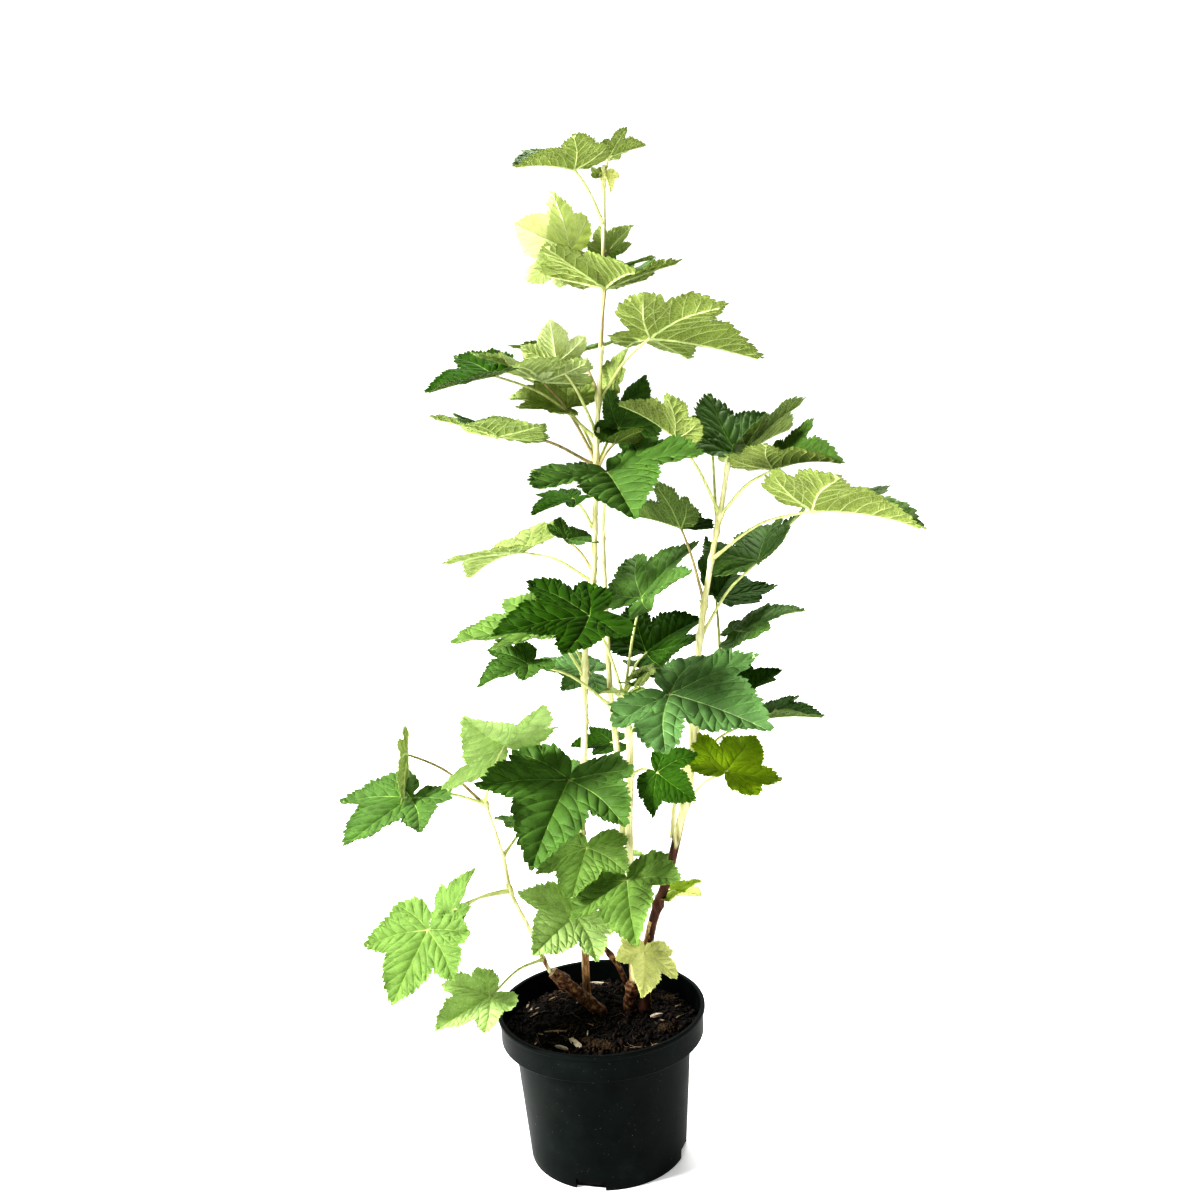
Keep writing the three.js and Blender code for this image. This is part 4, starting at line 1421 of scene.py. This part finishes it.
def strew_chips(mesh, rng):
    for _ in range(LOOSE_CHIPS):
        _, x, y = strewn(SOIL_RADIUS - 6, rng)
        size = (rng.uniform(4, 11), rng.uniform(1.0, 2.6), rng.uniform(0.5, 1.1))
        add_chip(mesh, (x, y), rng.uniform(0, 360), size, int(rng.integers(3)), rng)


def strew_fibres(mesh, rng):
    for _ in range(FIBRE_COUNT):
        _, middle_x, middle_y = strewn(SOIL_RADIUS - 12, rng)
        heading = rng.uniform(0, 2 * math.pi)
        length = rng.uniform(6, 20)
        path = []
        for s in np.linspace(-0.5, 0.5, 5):
            x = middle_x + s * length * math.cos(heading)
            y = middle_y + s * length * math.sin(heading)
            lift = soil_height(math.hypot(x, y)) + 1.0 + rng.uniform(0, 1.5)
            path.append((x + rng.normal(0, 0.6), y + rng.normal(0, 0.6), lift))
        if max(math.hypot(p[0], p[1]) for p in path) < SOIL_RADIUS - 1:
            add_tube(mesh, smooth_line(path, 9), np.full(9, rng.uniform(0.16, 0.34)), 0, 5)


def make_crumbs(rng):
    """Crumbs, chips and fibres on the compost."""
    corners, faces = lump_shape()
    crumbs, chips, fibres = Mesh(), Mesh(), Mesh()
    strew_crumbs(crumbs, corners, faces, rng)
    for place, heading, size, tone in CHIPS:
        add_chip(chips, place, heading, size, tone, rng)
    for place, spread in CLUMPS:
        add_clump(crumbs, corners, faces, place, spread, rng)
    strew_chips(chips, rng)
    strew_fibres(fibres, rng)
    dress(crumbs.build("compost_crumbs", two_toned(CRUMB_TONES)), "soil", "soil")
    dress(chips.build("compost_chips", two_toned(CHIP_TONES), 40), "soil", "soil")
    dress(fibres.build("compost_fibres", two_toned(FIBRE_TONES)), "soil", "soil")


# Floor, light and camera

def make_floor():
    """A wide pale floor that stands apart from the plant."""
    mesh = bpy.data.meshes.new("floor")
    corners = [(x * FLOOR_HALF, y * FLOOR_HALF, 0) for x, y in ((-1, -1), (1, -1), (1, 1), (-1, 1))]
    mesh.from_pydata(corners, [], [(0, 1, 2, 3)])
    skin = Skin("floor_white", 0.9, 0.1)
    away = skin.put("VectorMath", {0: skin.place()}, operation="LENGTH").outputs["Value"]
    mesh.materials.append(skin.finish({
        "Base Color": (0.93, 0.93, 0.92, 1), "Emission Color": (1, 1, 1, 1),
        "Emission Strength": skin.between(away, FLOOR_GLOW_REACH, FLOOR_GLOW)}))
    placed("floor", mesh)


def make_world():
    """White surroundings, dimmer overhead and in front."""
    world = bpy.data.worlds.new("white_studio")
    nodes = Nodes(world)
    direction = nodes.put("TexCoord", {}).outputs["Generated"]
    facing = nodes.put("VectorMath", {0: direction, 1: unit(np.array(DIM_TOWARDS))},
                       operation="DOT_PRODUCT").outputs["Value"]
    strength = nodes.between(facing, DIM_BETWEEN, (1, DIM_LEVEL), interpolation_type="SMOOTHSTEP")
    nodes.fill(nodes.tree.nodes["Background"], {"Color": (1, 1, 1, 1), "Strength": strength})
    bpy.context.scene.world = world


def make_lights():
    for name, (place, target, size, power) in LIGHTS.items():
        light = bpy.data.lights.new(name, "AREA")
        light.shape = "DISK"
        light.size = size
        light.energy = power
        lamp = placed(name, light)
        lamp.location = place
        aim = Vector(target) - Vector(place)
        lamp.rotation_euler = aim.to_track_quat("-Z", "Y").to_euler()


def make_camera():
    """The photograph's point of view."""
    turn, tilt, roll = (math.radians(v) for v in (CAMERA_TURN, CAMERA_TILT, CAMERA_ROLL))
    forward = Vector((math.sin(turn) * math.cos(tilt), math.cos(turn) * math.cos(tilt),
                      -math.sin(tilt)))
    level = forward.cross(Vector((0, 0, 1))).normalized()
    upright = level.cross(forward)
    right = level * math.cos(roll) + upright * math.sin(roll)
    up = upright * math.cos(roll) - level * math.sin(roll)
    data = bpy.data.cameras.new("camera")
    data.lens = CAMERA_LENS
    data.sensor_width = CAMERA_SENSOR
    camera = placed("camera", data)
    turned = Matrix((right, up, -forward)).transposed().to_4x4()
    camera.matrix_world = Matrix.Translation(CAMERA_PLACE) @ turned
    bpy.context.scene.camera = camera


def set_colours():
    """White surroundings come out white, and the plant has the photograph's strong contrast."""
    bpy.context.scene.view_settings.view_transform = "Standard"
    bpy.context.scene.view_settings.look = "High Contrast"


patterns = [blade_pattern(shape, SEED + 10 + i) for i, shape in enumerate(SHAPES)]
patterns += [mirrored(pattern) for pattern in patterns]
grow_leaves(patterns)
make_bark()
make_old_wood()
make_pot()
make_soil()
make_floor()
make_world()
make_lights()
make_camera()
set_colours()
